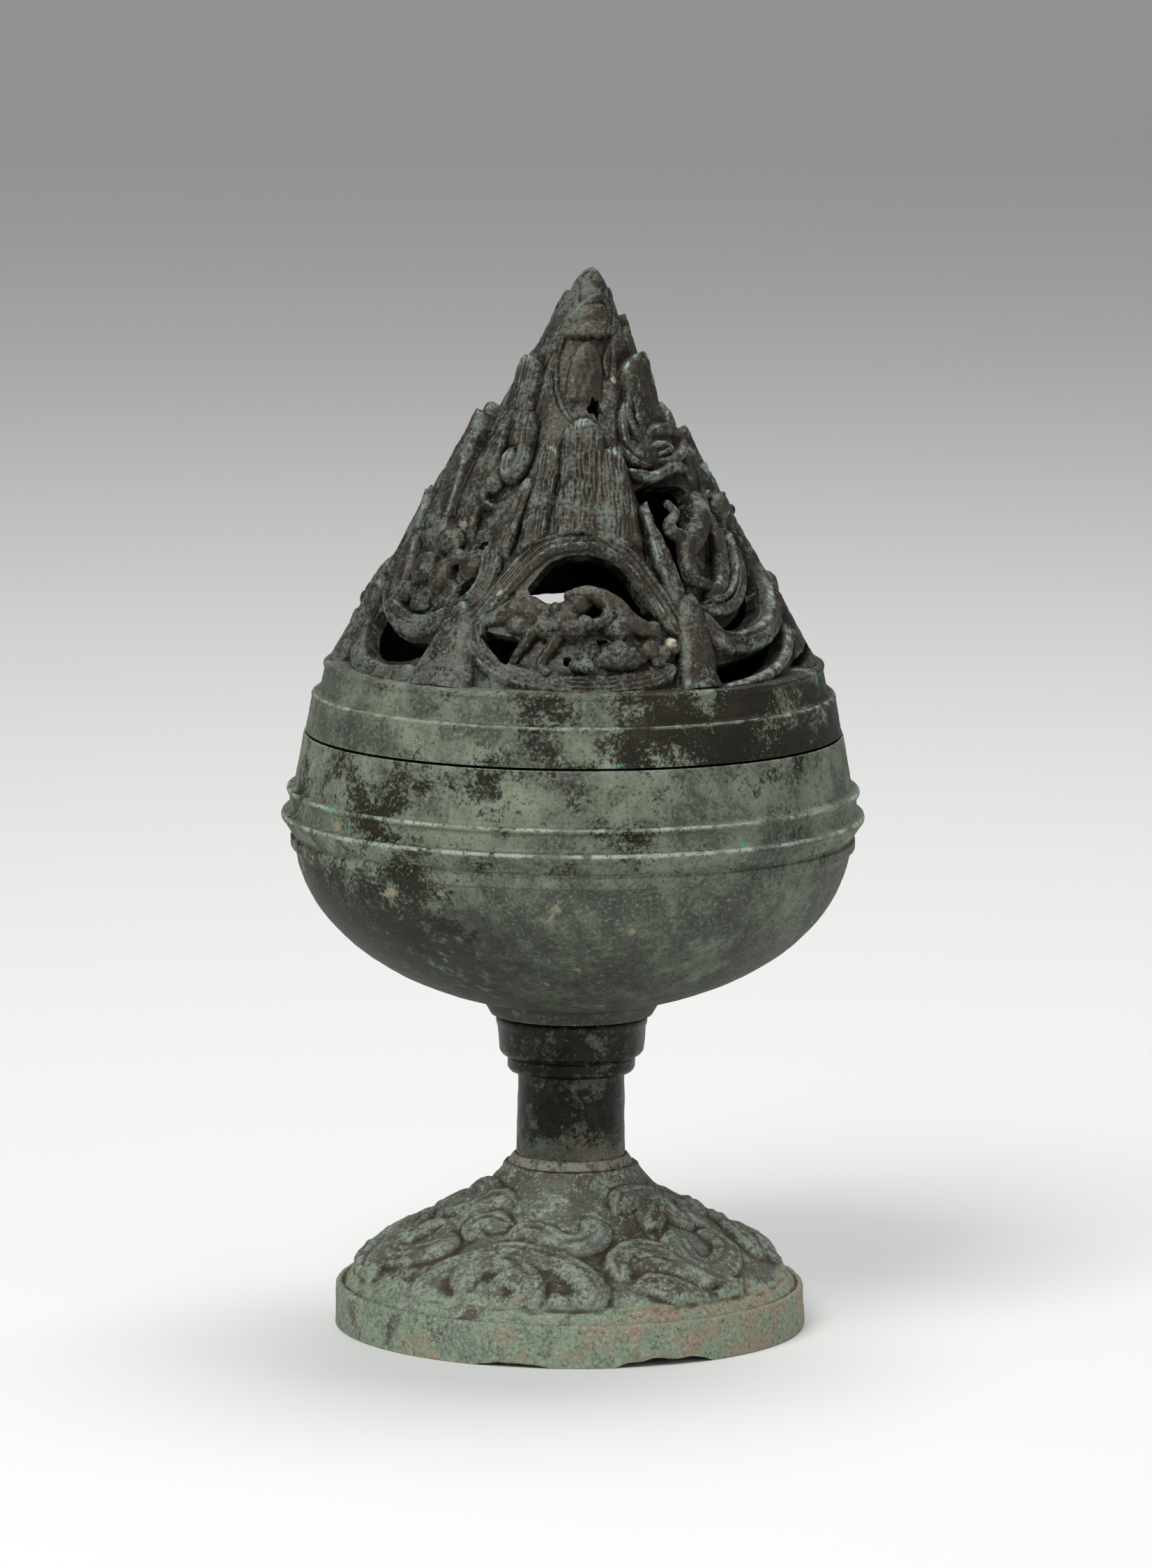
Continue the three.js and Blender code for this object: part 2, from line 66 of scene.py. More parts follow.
def patina(name, look):
    # cast metal under corrosion: broad blotches of dark metal, a crust that spreads where the piece's veil
    # says, dirt in hollows, which on the bowl also lays painted shade low down, a rubbed pale edge on crests,
    # grains under a millimetre, rare bright spots, and ragged chalky deposits, which are only a few coarse
    # pits where the finish has no tone for them
    look = {"dirtAndShadeAt": 0.25, "edgeFrom": (0.57, 0.9), "rubFrom": (0.46, 0.62), "chalkTone": look["pitTone"],
            "spots": [], **look}
    material = bpy.data.materials.new(name)
    material.use_nodes = True
    tree = material.node_tree
    shader = tree.nodes["Principled BSDF"]
    place = addNode(tree, "ShaderNodeTexCoord").outputs["Object"]
    level = {}
    for key in ("crest", "veil", "chalk"):
        level[key] = addNode(tree, "ShaderNodeAttribute", attribute_name=key).outputs["Fac"]
    # noises with size in millimetres, detail, roughness, and a shift that keeps them apart
    noises = [("blotch", look["blotch"], 5, 0.6, 0.0), ("cloud", look["crust"], 9, 0.74, 0.31),
              ("hue", look["blotch"] * 0.6, 7, 0.78, 0.71), ("fine", 0.8, 5, 0.75, 0.57),
              ("dust", 3.0, 4, 0.6, 0.13), ("rub", 2.6, 6, 0.75, 0.83)]
    noises += [(tone, size, 5, 0.62, shift) for tone, size, low, shift in look["spots"]]
    for key, size, detail, rough, shift in noises:
        moved = addNode(tree, "ShaderNodeMapping", {"Location": (shift, shift * 0.7, -shift)}, {0: place})
        level[key] = addNode(tree, "ShaderNodeTexNoise", {"Scale": 1 / (size * mm), "Detail": detail,
                             "Roughness": rough}, {"Vector": moved.outputs[0]}).outputs["Fac"]
    # sums: a share of one level, added to another
    for key, source, share, other in [
            ("speckled", "fine", 0.9, "veil"), ("spread", "cloud", 1.8, "speckled"),
            ("drift", "veil", -0.25, "hue"), ("daubs", "fine", 1.1, "chalk"),
            ("deposit", "rub", 1.1, "daubs")]:
        level[key] = addNode(tree, "ShaderNodeMath", {1: share}, {0: level[source], 2: level[other]},
                             operation="MULTIPLY_ADD").outputs[0]
    # each mask rises smoothly between two values of its level
    masks = [("crust", "spread", 1.73, 1.95), ("veiled", "spread", 1.55, 1.95),
             ("specks", "fine", 0.52, 0.66), ("pits", "fine", 0.46, 0.34),
             ("hollow", "crest", 0.5, look["dirtAndShadeAt"]), ("dusty", "dust", 0.28, 0.5),
             ("crests", "crest", *look["edgeFrom"]), ("rubbed", "rub", *look["rubFrom"]),
             ("chalky", "deposit", 1.65, 1.95)]
    masks += [(tone, tone, low, low + 0.07) for tone, size, low, shift in look["spots"]]
    mask = {}
    for key, source, low, high in masks:
        mask[key] = addNode(tree, "ShaderNodeMapRange", {1: low, 2: high}, {0: level[source]},
                            interpolation_type="SMOOTHSTEP").outputs[0]
    bare = addNode(tree, "ShaderNodeValToRGB", links={0: level["blotch"]}, stops=look["tones"])
    skin = addNode(tree, "ShaderNodeValToRGB", links={0: level["drift"]}, stops=look["crustTones"])
    colour = addNode(tree, "ShaderNodeMix", links={0: mask["crust"], 6: bare.outputs[0], 7: skin.outputs[0]},
                     data_type="RGBA").outputs[2]
    # tones laid over one another, each as its mask says, or where it and a second mask agree
    # the dirt tone lies in hollows and, on the bowl, also low down as painted shade
    layers = [(look["speckTone"], "specks", "veiled"), (look["dirtAndShadeTone"], "hollow", "dusty"),
              (look["edgeTone"], "crests", "rubbed"), (look["pitTone"], "pits", ""),
              (look["chalkTone"], "chalky", "")]
    layers += [(tone, tone, "") for tone, *_ in look["spots"]]
    for tone, first, second in layers:
        share = mask[first]
        if second:
            share = addNode(tree, "ShaderNodeMath", links={0: share, 1: mask[second]},
                            operation="MULTIPLY").outputs[0]
        colour = addNode(tree, "ShaderNodeMix", {7: linear(tone)}, {0: share, 6: colour},
                         data_type="RGBA").outputs[2]
    tree.links.new(colour, shader.inputs["Base Color"])
    for socket, (metal, crusted) in (("Metallic", look["metal"]), ("Roughness", look["rough"])):
        amount = addNode(tree, "ShaderNodeMapRange", {3: metal, 4: crusted}, {0: mask["crust"]})
        tree.links.new(amount.outputs[0], shader.inputs[socket])
    relief = addNode(tree, "ShaderNodeMath", {2: 0.5}, {0: level["cloud"], 1: level["fine"]},
                     operation="MULTIPLY_ADD")
    bump = addNode(tree, "ShaderNodeBump", {"Strength": look["bump"], "Distance": 0.4 * mm},
                   {"Height": relief.outputs[0]})
    tree.links.new(bump.outputs[0], shader.inputs["Normal"])
    return material


# in each finish blotch and crust are sizes in millimetres, metal and rough are for bare metal and for crust,
# and a spot has its tone, its size, the noise level where it starts, and its shift
# old lid casting: brown-black tin bronze, smoke-stained, with pale blue-green on what hands have rubbed
lidBronze = patina("brownPatinatedBronze", {
    "blotch": 14, "tones": [(0.32, "#221c13"), (0.46, "#352f25"), (0.58, "#433d32"), (0.7, "#504a3f")],
    "crust": 6, "crustTones": [(0.26, "#4a463b"), (0.41, "#585d55"), (0.56, "#6d7a71")],
    "speckTone": "#67706a", "dirtAndShadeTone": "#1d1710", "edgeTone": "#7b8981", "edgeFrom": (0.56, 0.9),
    "pitTone": "#191510", "chalkTone": "#a29a86", "metal": (0.6, 0.15), "rough": (0.46, 0.66), "bump": 0.4,
    "spots": [("#7a4630", 8.0, 0.735, 0.44), ("#4f8f84", 7.0, 0.765, 0.92)]})

# bowl casting: an even grey-green skin with dark brown clouds, tan and turquoise spots
bowlBronze = patina("greenPatinatedBronze", {
    "blotch": 22, "tones": [(0.34, "#15120a"), (0.48, "#1f1b11"), (0.6, "#2b261b"), (0.72, "#3f3b2f")],
    # the darkest crust tones serve as painted shade low on the bowl, where its veil is thick
    "crust": 11, "crustTones": [(0.14, "#30352c"), (0.25, "#454a40"), (0.3, "#545a4b"), (0.35, "#636a59"),
                                (0.43, "#747e6c"), (0.52, "#808a78")],
    # the dirt tone darkens hollows and is also painted shade low on the bowl
    "speckTone": "#747d6b", "dirtAndShadeTone": "#23281f", "dirtAndShadeAt": 0.3, "edgeTone": "#9dab9a",
    "edgeFrom": (0.62, 0.82), "rubFrom": (0.38, 0.54), "pitTone": "#2b2a20", "metal": (0.6, 0.05),
    "rough": (0.6, 0.7), "bump": 0.22,
    "spots": [("#8d8570", 9.0, 0.65, 0.44), ("#4c9683", 8.0, 0.68, 0.92)]})

# stem and collar: nearly black bronze with thin green veils and red-brown oxide
stemBronze = patina("darkPatinatedBronze", {
    "blotch": 12, "tones": [(0.32, "#0f0e09"), (0.48, "#171711"), (0.62, "#23241d"), (0.75, "#2f322a")],
    "crust": 3.4, "crustTones": [(0.26, "#6a6152"), (0.33, "#4d483c"), (0.41, "#3f453b"), (0.55, "#566153")],
    "speckTone": "#565d50", "dirtAndShadeTone": "#12120e", "edgeTone": "#5d6659", "edgeFrom": (0.58, 0.9),
    "pitTone": "#100f0c", "metal": (0.75, 0.25), "rough": (0.42, 0.62), "bump": 0.3,
    "spots": [("#6b4034", 5.0, 0.66, 0.44), ("#4f8f84", 6.0, 0.74, 0.92)]})

# foot casting: a thick granular crust of pale green and tan over brown bronze
footBronze = patina("paleCrustedBronze", {
    "blotch": 15, "tones": [(0.34, "#463b2e"), (0.43, "#544d42"), (0.54, "#5f5f56"), (0.7, "#6d7169")],
    "crust": 7, "crustTones": [(0.18, "#94866f"), (0.25, "#878670"), (0.31, "#85977f"), (0.38, "#6a7565"),
                               (0.47, "#929c90")],
    "speckTone": "#a3ab99", "dirtAndShadeTone": "#40382b", "dirtAndShadeAt": 0.15, "edgeTone": "#8a9488",
    "edgeFrom": (0.54, 0.8), "rubFrom": (0.42, 0.58), "pitTone": "#474632", "metal": (0.25, 0.0),
    "rough": (0.6, 0.82), "bump": 0.6,
    "spots": [("#8c8674", 7.0, 0.66, 0.44), ("#7a5a44", 6.0, 0.72, 0.92)]})

# tin solder run round the stem: dull grey-pink metal with a little green
solderTin = patina("tinSolder", {
    "blotch": 7, "tones": [(0.3, "#424136"), (0.5, "#545448"), (0.6, "#66645a"), (0.75, "#80776c")],
    "crust": 4, "crustTones": [(0.3, "#9a8b7c"), (0.4, "#868876"), (0.5, "#8b9583")],
    "speckTone": "#9a968a", "dirtAndShadeTone": "#3c372d", "edgeTone": "#9d9288", "pitTone": "#383127",
    "metal": (0.3, 0.1), "rough": (0.6, 0.75), "bump": 0.4, "spots": [("#7d4a3c", 6.0, 0.7, 0.44)]})

# wrought-iron nail: scaly red-brown rust
rustedIron = patina("rustedIron", {
    "blotch": 6, "tones": [(0.3, "#2c1d15"), (0.45, "#4a2e1f"), (0.58, "#613d27"), (0.72, "#7c5233")],
    "crust": 3, "crustTones": [(0.35, "#3a261b"), (0.5, "#573521"), (0.65, "#7c5233")],
    "speckTone": "#8a6038", "dirtAndShadeTone": "#2a1a12", "edgeTone": "#7c5233", "pitTone": "#1f140e",
    "metal": (0.3, 0.1), "rough": (0.75, 0.9), "bump": 0.8})
print("finishes made")


def waves(points, size, seed):
    # unevenness: sixteen plane sine waves in random directions, about size long, summed to about half a unit
    rng = np.random.default_rng(seed)
    ways = rng.normal(size=(16, 3))
    ways /= np.linalg.norm(ways, axis=1, keepdims=True) * size * rng.uniform(0.7, 1.4, (16, 1))
    return np.sin(points @ ways.T * 2 * np.pi + rng.uniform(0, 2 * np.pi, 16)).sum(-1) / 5.6


def ramp(value, start, end):
    # from 0 at start to 1 at end, straight between them and level beyond
    return np.clip((value - start) / (end - start), 0, 1)


def vertexRows(mesh, what):
    # positions or normals of a mesh's points, a row for each
    rows = np.empty(len(mesh.vertices) * 3)
    mesh.vertices.foreach_get(what, rows)
    return rows.reshape(-1, 3)


def addObject(name, data):
    # a mesh, lamp or camera put in the scene
    thing = bpy.data.objects.new(name, data)
    bpy.context.scene.collection.objects.link(thing)
    return thing


def crestOf(mesh, passes, span):
    # how far each point stands above its surroundings: its distance along the normal from the average that
    # repeated smoothing along the edges gives, as a share of span, and half a unit more
    here = vertexRows(mesh, "co")
    count = len(here)
    ends = np.empty(len(mesh.edges) * 2, np.int32)
    mesh.edges.foreach_get("vertices", ends)
    a, b = ends.reshape(-1, 2).T
    degree = np.maximum(np.bincount(a, minlength=count) + np.bincount(b, minlength=count), 1)
    soft = here
    for _ in range(passes):
        total = [np.bincount(a, soft[b, k], count) + np.bincount(b, soft[a, k], count) for k in range(3)]
        soft = 0.5 * soft + 0.5 * np.stack(total, 1) / degree[:, None]
    rise = ((here - soft) * vertexRows(mesh, "normal")).sum(1)
    return np.clip(0.5 + rise / (span * mm), 0, 1)


def dress(mesh, name, body, nodes, finish, veil, crest=None, crease=40):
    # a finished mesh becomes a named piece with its edge wear, which on the bowl also holds painted shade low
    # down, its veil of crust, its finish and its body; veil gives the crust's spread from 0 to 1 for rows of
    # points in millimetres
    mesh.shade_smooth()
    mesh.set_sharp_from_angle(angle=np.radians(crease))
    points = vertexRows(mesh, "co") / mm
    levels = {"crest": crestOf(mesh, 12, 0.5) if crest is None else crest,
              "veil": np.clip(veil(points), 0, 1)}
    if finish == lidBronze:
        levels["chalk"] = lidChalk(points)
    for key, values in levels.items():
        mesh.attributes.new(key, "FLOAT", "POINT").data.foreach_set("value", values.astype(np.float32))
    mesh.materials.append(finish)
    piece = addObject(name, mesh)
    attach(piece, body)
    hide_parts(*nodes)
    print(name, "made,", len(mesh.polygons), "faces")


def quadMesh(name, points, quads):
    # points in millimetres and rows of four indices, without the points that no face uses
    used, faces = np.unique(quads, return_inverse=True)
    mesh = bpy.data.meshes.new(name)
    mesh.vertices.add(len(used))
    mesh.vertices.foreach_set("co", (points.reshape(-1, 3)[used] * mm).ravel())
    mesh.loops.add(quads.size)
    mesh.loops.foreach_set("vertex_index", faces.ravel())
    mesh.polygons.add(len(quads))
    mesh.polygons.foreach_set("loop_start", np.arange(0, quads.size, 4))
    mesh.update(calc_edges=True)
    mesh.validate()
    return mesh, used


def around(radius, bearing, height):
    # a point at a bearing from the front, a distance from the axis and a height
    angle = np.radians(bearing)
    return np.stack(np.broadcast_arrays(radius * np.sin(angle), -radius * np.cos(angle), height), -1)


def softCorners(profile, cut, steps=3):
    # every corner of a closed profile becomes a parabola between points at most cut away from it
    here = np.array(profile, float)
    sides = [np.roll(here, turn, 0) - here for turn in (1, -1)]
    ends = []
    for side in sides:
        length = np.linalg.norm(side, axis=1, keepdims=True)
        ends.append(here + side / length * np.minimum(cut, 0.45 * length))
    t = np.linspace(0, 1, steps + 1)[None, :, None]
    curve = (1 - t) ** 2 * ends[0][:, None] + 2 * t * (1 - t) * here[:, None] + t ** 2 * ends[1][:, None]
    return curve.reshape(-1, 2)


def evenly(profile, step):
    # each side of a closed profile cut into equal parts no longer than step
    after = np.roll(profile, -1, 0)
    parts = np.maximum(1, np.ceil(np.linalg.norm(after - profile, axis=1) / step)).astype(int)
    side = np.repeat(np.arange(len(profile)), parts)
    part = np.arange(parts.sum()) - np.repeat(np.cumsum(parts) - parts, parts)
    return profile[side] + (part / parts[side])[:, None] * (after - profile)[side]


def ringQuads(rows, cols):
    # quads of a grid that closes in both directions
    i, j = np.meshgrid(np.arange(rows), np.arange(cols), indexing="ij")
    up, on = (i + 1) % rows, (j + 1) % cols
    return np.stack([i * cols + j, i * cols + on, up * cols + on, up * cols + j], -1).reshape(-1, 4)


def turned(profile, shape):
    # a closed profile of radius and height carried round the axis, with its outward directions; step is the
    # longest side of a face along the profile, and cut is how far its corners are rounded
    line = evenly(softCorners(profile, shape["cut"]), shape["step"])
    along = np.roll(line, -1, 0) - np.roll(line, 1, 0)
    out = np.stack([along[:, 1], -along[:, 0]], 1)
    out /= np.linalg.norm(out, axis=1, keepdims=True)
    bearing = np.linspace(-180, 180, shape["cols"], endpoint=False)[None]
    return line, around(line[:, :1], bearing, line[:, 1:]), around(out[:, :1], bearing, out[:, 1:])


def smoothPath(knots, per=6):
    # a line through knots: cubic pieces whose slopes come from the neighbouring knots
    knots = np.array(knots, float)
    padded = np.vstack([2 * knots[0] - knots[1], knots, 2 * knots[-1] - knots[-2]])
    t = np.linspace(0, 1, per, endpoint=False)[None, :, None]
    a, b, c, d = (padded[k:len(padded) - 3 + k, None] for k in range(4))
    curve = b + 0.5 * t * (c - a + t * (2 * a - 5 * b + 4 * c - d + t * (3 * (b - c) + d - a)))
    return np.vstack([curve.reshape(-1, knots.shape[1]), knots[-1:]])


offForm = -4.0  # the height of a raised form where it is not


def ridgeAlong(points, facing, path, half, height, ridges=1, groove=0.0, taper=3.0, inside=1.0, hatch=0.0):
    # height of a raised band: across it a rounded plateau cut by grooves into ridges, wider by inside on its
    # right; it thins to its ends, and hatch cuts short strokes on its right; distance and side are taken from
    # the nearest piece of the path
    lengths = np.linalg.norm(np.diff(path, axis=0), axis=1)
    starts = np.concatenate([[0], np.cumsum(lengths)])
    reach = half * inside + 1
    close = ((points > path.min(0) - reach) & (points < path.max(0) + reach)).all(-1)
    spots, outward = points[close], facing[close]
    nearest = np.full(len(spots), 1e9)
    side = np.zeros(len(spots))
    run = np.zeros(len(spots))
    for k, length in enumerate(lengths):
        step = (path[k + 1] - path[k]) / length
        away = spots - path[k]
        place = np.clip(away @ step, 0, length)
        gap = np.linalg.norm(away - place[:, None] * step, axis=1)
        better = gap < nearest
        nearest = np.where(better, gap, nearest)
        side = np.where(better, (np.cross(step, away) * outward).sum(-1), side)
        run = np.where(better, starts[k] + place, run)
    fade = np.clip(np.minimum(run, starts[-1] - run) / taper, 0, 1) ** 0.5
    width = half * np.maximum(fade, 0.05) * np.where(side < 0, inside, 1.0)
    across = np.clip(nearest / width, 0, 1)
    form = height * (0.4 + 0.6 * fade) * np.sqrt(1 - across ** 4)
    form = form - groove * (0.5 - 0.5 * np.cos(np.pi * ridges * (side / width + 1))) * (1 - across ** 6)
    stroke = 0.5 + 0.5 * np.cos(2 * np.pi * (run + 0.6 * side) / 0.95)
    stroke = stroke * np.clip(-1 - 4 * side / width, 0, 1)
    ridge = np.full(points.shape[:-1], offForm)
    ridge[close] = np.where(nearest < width, form - hatch * stroke, offForm)
    return ridge


def higher(field, form, blend=0.35):
    # the higher of two reliefs, with a small fillet where they meet
    return np.maximum(field, form) + np.clip(blend - np.abs(field - form), 0, None) ** 2 / (4 * blend)


# bowl: lower half of an ellipsoid, a moulded belt, a wall leaning in to the rim, and the lip inside the lid
bowlShape = {
    "level": 68.1, "radius": 60.0, "depth": 38.0, "middle": 39.1, "wall": 2.8, "seat": 19.3,
    "cols": 200, "step": 0.8, "cut": 0.16, "ridges": [(49.3, 0.2), (43.9, 0.24)],
    "belt": [(60.1, 36.3), (60.8, 36.7), (60.9, 38.7), (60.3, 39.2), (60.35, 39.6), (61.0, 40.2),
             (62.3, 42.2), (62.85, 42.9), (62.95, 43.6), (62.7, 44.2), (61.5, 44.6), (61.2, 45.1),
             (61.1, 47.5), (61.15, 48.1), (61.7, 48.5), (61.8, 49.1), (61.5, 49.5), (60.2, 49.8),
             (59.95, 50.3), (59.6, 52.8)],
    "rim": [(58.1, 61.3), (55.0, 61.3), (55.0, 64.8), (53.2, 64.8), (53.2, 58.3), (56.0, 48.0)],
    "underside": [(3.8, 0), (17.5, 0)], "floor": [(8.5, 3.9), (3.8, 3.9)]}


def wornLines(height, edges, half=0.4):
    # wear along level edges: one bell curve over the height or the radius for each edge's level and
    # strength, which is negative where a groove holds dirt
    return sum(strength * np.exp(-((height - level) / half) ** 2) for level, strength in edges)


def bowlArc(shape, start, end, count, inset=0.0):
    # part of the ellipse that the bowl's section follows, from one turn in degrees to another
    turn = np.radians(np.linspace(start, end, count))
    return np.stack([(shape["radius"] - inset) * np.cos(turn),
                     shape["middle"] + (shape["depth"] - inset) * np.sin(turn)], 1)


def makeBowl(shape):
    # outside profile upwards, over the lip, and down the inside to the nail hole
    outer = bowlArc(shape, -np.degrees(np.arccos(shape["seat"] / shape["radius"])), -6, 22)
    inner = bowlArc(shape, 0, -78, 18, shape["wall"])
    profile = np.vstack([shape["underside"], outer, shape["belt"], shape["rim"], inner, shape["floor"]])
    line, points, facing = turned(profile, shape)
    uneven = 0.1 * waves(points, 45, 3) + 0.05 * waves(points, 9, 4) + 0.025 * waves(points, 3, 5)
    outside = ramp(line[:, :1], 18, 24) * (line[:, 1:] < 61)
    points = points + facing * (uneven * outside)[..., None]
    points[..., 2] += shape["level"]
    mesh, used = quadMesh("bowl", points, ringQuads(*points.shape[:2]))
    spots = points.reshape(-1, 3)[used]
    # painted shade: the wear level is lowered low on the bowl, more at the left, so that the dirt tone
    # darkens it there
    paintedShadeLow = (0.13 + 0.14 * ramp(spots[:, 0], -4, -30)) * ramp(spots[:, 2], 110, 94)  # low, more at the left
    patchy = np.clip(0.75 + 0.6 * waves(spots, 11, 46), 0.2, 1.2)
    wear = crestOf(mesh, 7, 0.6) - paintedShadeLow + patchy * wornLines(spots[:, 2] - shape["level"], shape["ridges"])
    dress(mesh, "bowlCasting", "base", ["bowl"], bowlBronze, bowlVeil, wear)


def bowlVeil(points):
    # nearly whole on the wall and under the belt, where the thick veil low down darkens the crust tone as
    # painted shade; thin at the lower left, which leaves the dark metal bare there, and thin inside, where
    # smoke blackened it
    x, y, z = points.T
    low = ramp(z, 108, 102)
    sides = 0.024 * low * np.clip(x + 8, -26, 0) * (y < 20) + 0.003 * (1 - low) * np.clip(x, 0, 40)
    inset = bowlShape["wall"] - 0.6  # takes in the inner face and not the outer
    below = np.minimum(z - bowlShape["level"] - bowlShape["middle"], 0) / (bowlShape["depth"] - inset)
    smoked = (x ** 2 + y ** 2) / (bowlShape["radius"] - inset) ** 2 + below ** 2 < 1
    # the thick veil low down is crust and painted shade: it turns the crust tone darker there
    return 0.59 + 0.4 * low + 0.1 * waves(points, 28, 45) + sides - 0.8 * smoked


makeBowl(bowlShape)

# stem, its solder, the collar and the nail: turned forms with a little unevenness
stemShape = {"profile": [(9.1, 30.8), (11.9, 30.8), (11.9, 35.3), (11.6, 45.0), (11.45, 55.5), (11.45, 62.1),
                         (8.65, 62.1)], "cols": 120, "step": 0.6, "cut": 0.4, "uneven": 0.14}
solderShape = {"profile": [(11.98, 35.4), (13.5, 35.4), (13.1, 36.3), (12.5, 37.2), (11.98, 37.5)],
               "cols": 160, "step": 0.35, "cut": 0.3, "uneven": 0.12}
collarShape = {"profile": [(11.75, 55.5), (13.1, 55.5), (13.8, 56.4), (13.8, 58.6), (13.5, 59.2),
                           (14.9, 59.2), (15.6, 60.2), (15.75, 62.5), (16.0, 65.4), (16.3, 66.4),
                           (16.3, 67.2), (15.9, 67.8), (3.8, 67.8), (3.8, 62.4), (11.75, 62.4)],
               "cols": 160, "step": 0.6, "cut": 0.3, "uneven": 0.14}
nailShape = {"profile": [(0.02, 59.7), (4.6, 59.7), (5.5, 60.8), (5.6, 62.1), (3.5, 62.1), (3.5, 72.3),
                         (6.9, 72.3), (6.6, 73.9), (4.9, 75.2), (2.4, 75.7), (0.02, 75.75)],
             "cols": 64, "step": 0.6, "cut": 0.3, "uneven": 0.1}


def makeTurned(name, shape, node, finish, veil):
    # the profile carried round the axis, moved in or out by slow and quick waves, but not near the axis
    line, points, facing = turned(shape["profile"], shape)
    uneven = shape["uneven"] * (0.7 * waves(points, 12, 11) + 0.4 * waves(points, 3.5, 12))
    points = points + facing * (uneven * ramp(line[:, :1], 1.2, 4.2))[..., None]
    mesh, used = quadMesh(name, points, ringQuads(*points.shape[:2]))
    dress(mesh, name, "base", [node], finish, veil)


def stemVeil(points):
    # the upper half bare and dark, the lower half and the joint under the collar mottled
    z = points[:, 2]
    mottled = 0.36 * ramp(z, 47, 39) + 0.14 * ramp(z, 41, 37) + 0.14 * (z > 53)
    return 0.27 + mottled + 0.16 * waves(points, 9, 61)


def evenVeil(points):
    # thin all over
    return 0.3 + 0.1 * waves(points, 8, 62)


def beadVeil(points):
    # the solder nearly whole under its pale skin
    return evenVeil(points) + 0.3


makeTurned("stemTube", stemShape, "stem", stemBronze, stemVeil)
makeTurned("solderBead", solderShape, "solder_ring", solderTin, beadVeil)
makeTurned("collarSleeve", collarShape, "collar", stemBronze, evenVeil)
makeTurned("ironNail", nailShape, "rivet", rustedIron, evenVeil)

# foot: a band, a shoulder and a dome with scrolling clouds in relief; scrolls are bearing and radius, rings
# and chips are the radius and strength of dirt lines and the bearing, half width and depth of losses
footShape = {
    "profile": [(48.0, 0), (50.9, 0), (50.8, 4.0), (50.7, 8.6), (50.4, 9.2), (49.7, 9.3), (49.1, 8.6),
                (48.5, 9.4), (46.6, 12.0), (44.8, 14.0), (42.0, 16.2), (38.0, 18.4), (32.0, 21.4),
                (26.0, 25.0), (22.0, 27.6), (18.2, 30.4), (16.2, 32.4), (14.8, 34.4), (14.5, 35.3),
                (12.2, 35.3), (12.2, 30.5), (9.3, 30.5), (9.3, 27.5), (13.3, 26.8), (39.0, 14.6),
                (42.2, 11.2), (47.2, 7.6)],
    "dome": [(14.4, 35.3), (18.2, 30.4), (26, 25), (32, 21.4), (42, 16.2), (44.8, 14), (48.6, 9.5)],
    "vault": [(12, 33.0), (26, 23.0), (42, 14.8), (46, 11.0)],
    "cols": 300, "step": 0.55, "cut": 0.2, "repeat": 3, "rings": [(49.1, -0.3), (46.9, -0.16)],
    "chips": [(-14, 8, 0.9), (24, 11, 1.8)],
    "ridge": {"half": 2.4, "height": 1.8, "ridges": 3, "groove": 0.4, "taper": 4, "inside": 1.9},
    "scrolls": [
        [(-31.2, 43.9), (-33.5, 40.4), (-32.9, 35.9), (-26.2, 34.5), (-18, 35.4), (-10.8, 40.1), (-9.2, 43.3),
         (-12, 44.4)],
        [(-23.2, 41.9), (-18.2, 39.4), (-12.9, 41.6), (-14, 43.6), (-17.2, 43.4)],
        [(-46, 40.5), (-35.4, 35.4), (-23.3, 31.3), (-6.6, 32.8), (3, 36.3), (7.4, 40.7), (7.6, 43.3),
         (3.7, 44.4)],
        [(-5.1, 42.0), (-2.3, 43.9), (1.9, 44.0), (4.0, 42.4), (2.2, 40.8)],
        [(15.4, 39.6), (16.3, 33.9), (24.8, 30.7), (36.1, 32.4), (41, 38.3), (47.3, 42.2), (51, 43.8),
         (44, 44.4)],
        [(19.2, 36.2), (27.9, 34.6), (35, 36.3), (36.5, 39.6)],
        [(18.9, 41.2), (25.2, 40.3), (31.3, 41.8), (35.5, 43.6), (40.5, 44.6)],
        [(25.8, 21.9), (35.3, 18.6), (50.1, 18.2), (61.6, 19.6), (50, 23.7), (36.7, 26.4)],
        [(49.5, 27.7), (45.6, 32.8), (44, 36.5), (48.5, 38.4), (57, 37.4), (66, 33.8), (64, 29.4)],
        [(-44.1, 30.2), (-48.8, 26.8), (-41.7, 24.5), (-28.6, 25)],
        [(-26.8, 28.6), (-22.6, 26.2), (-12.7, 26.1), (-3.8, 28.6), (3, 28.9), (9.6, 26.8), (7.4, 22.8)],
        [(-56, 29), (-60, 25), (-58, 21), (-48, 19.2), (-36, 19.6)]],
}


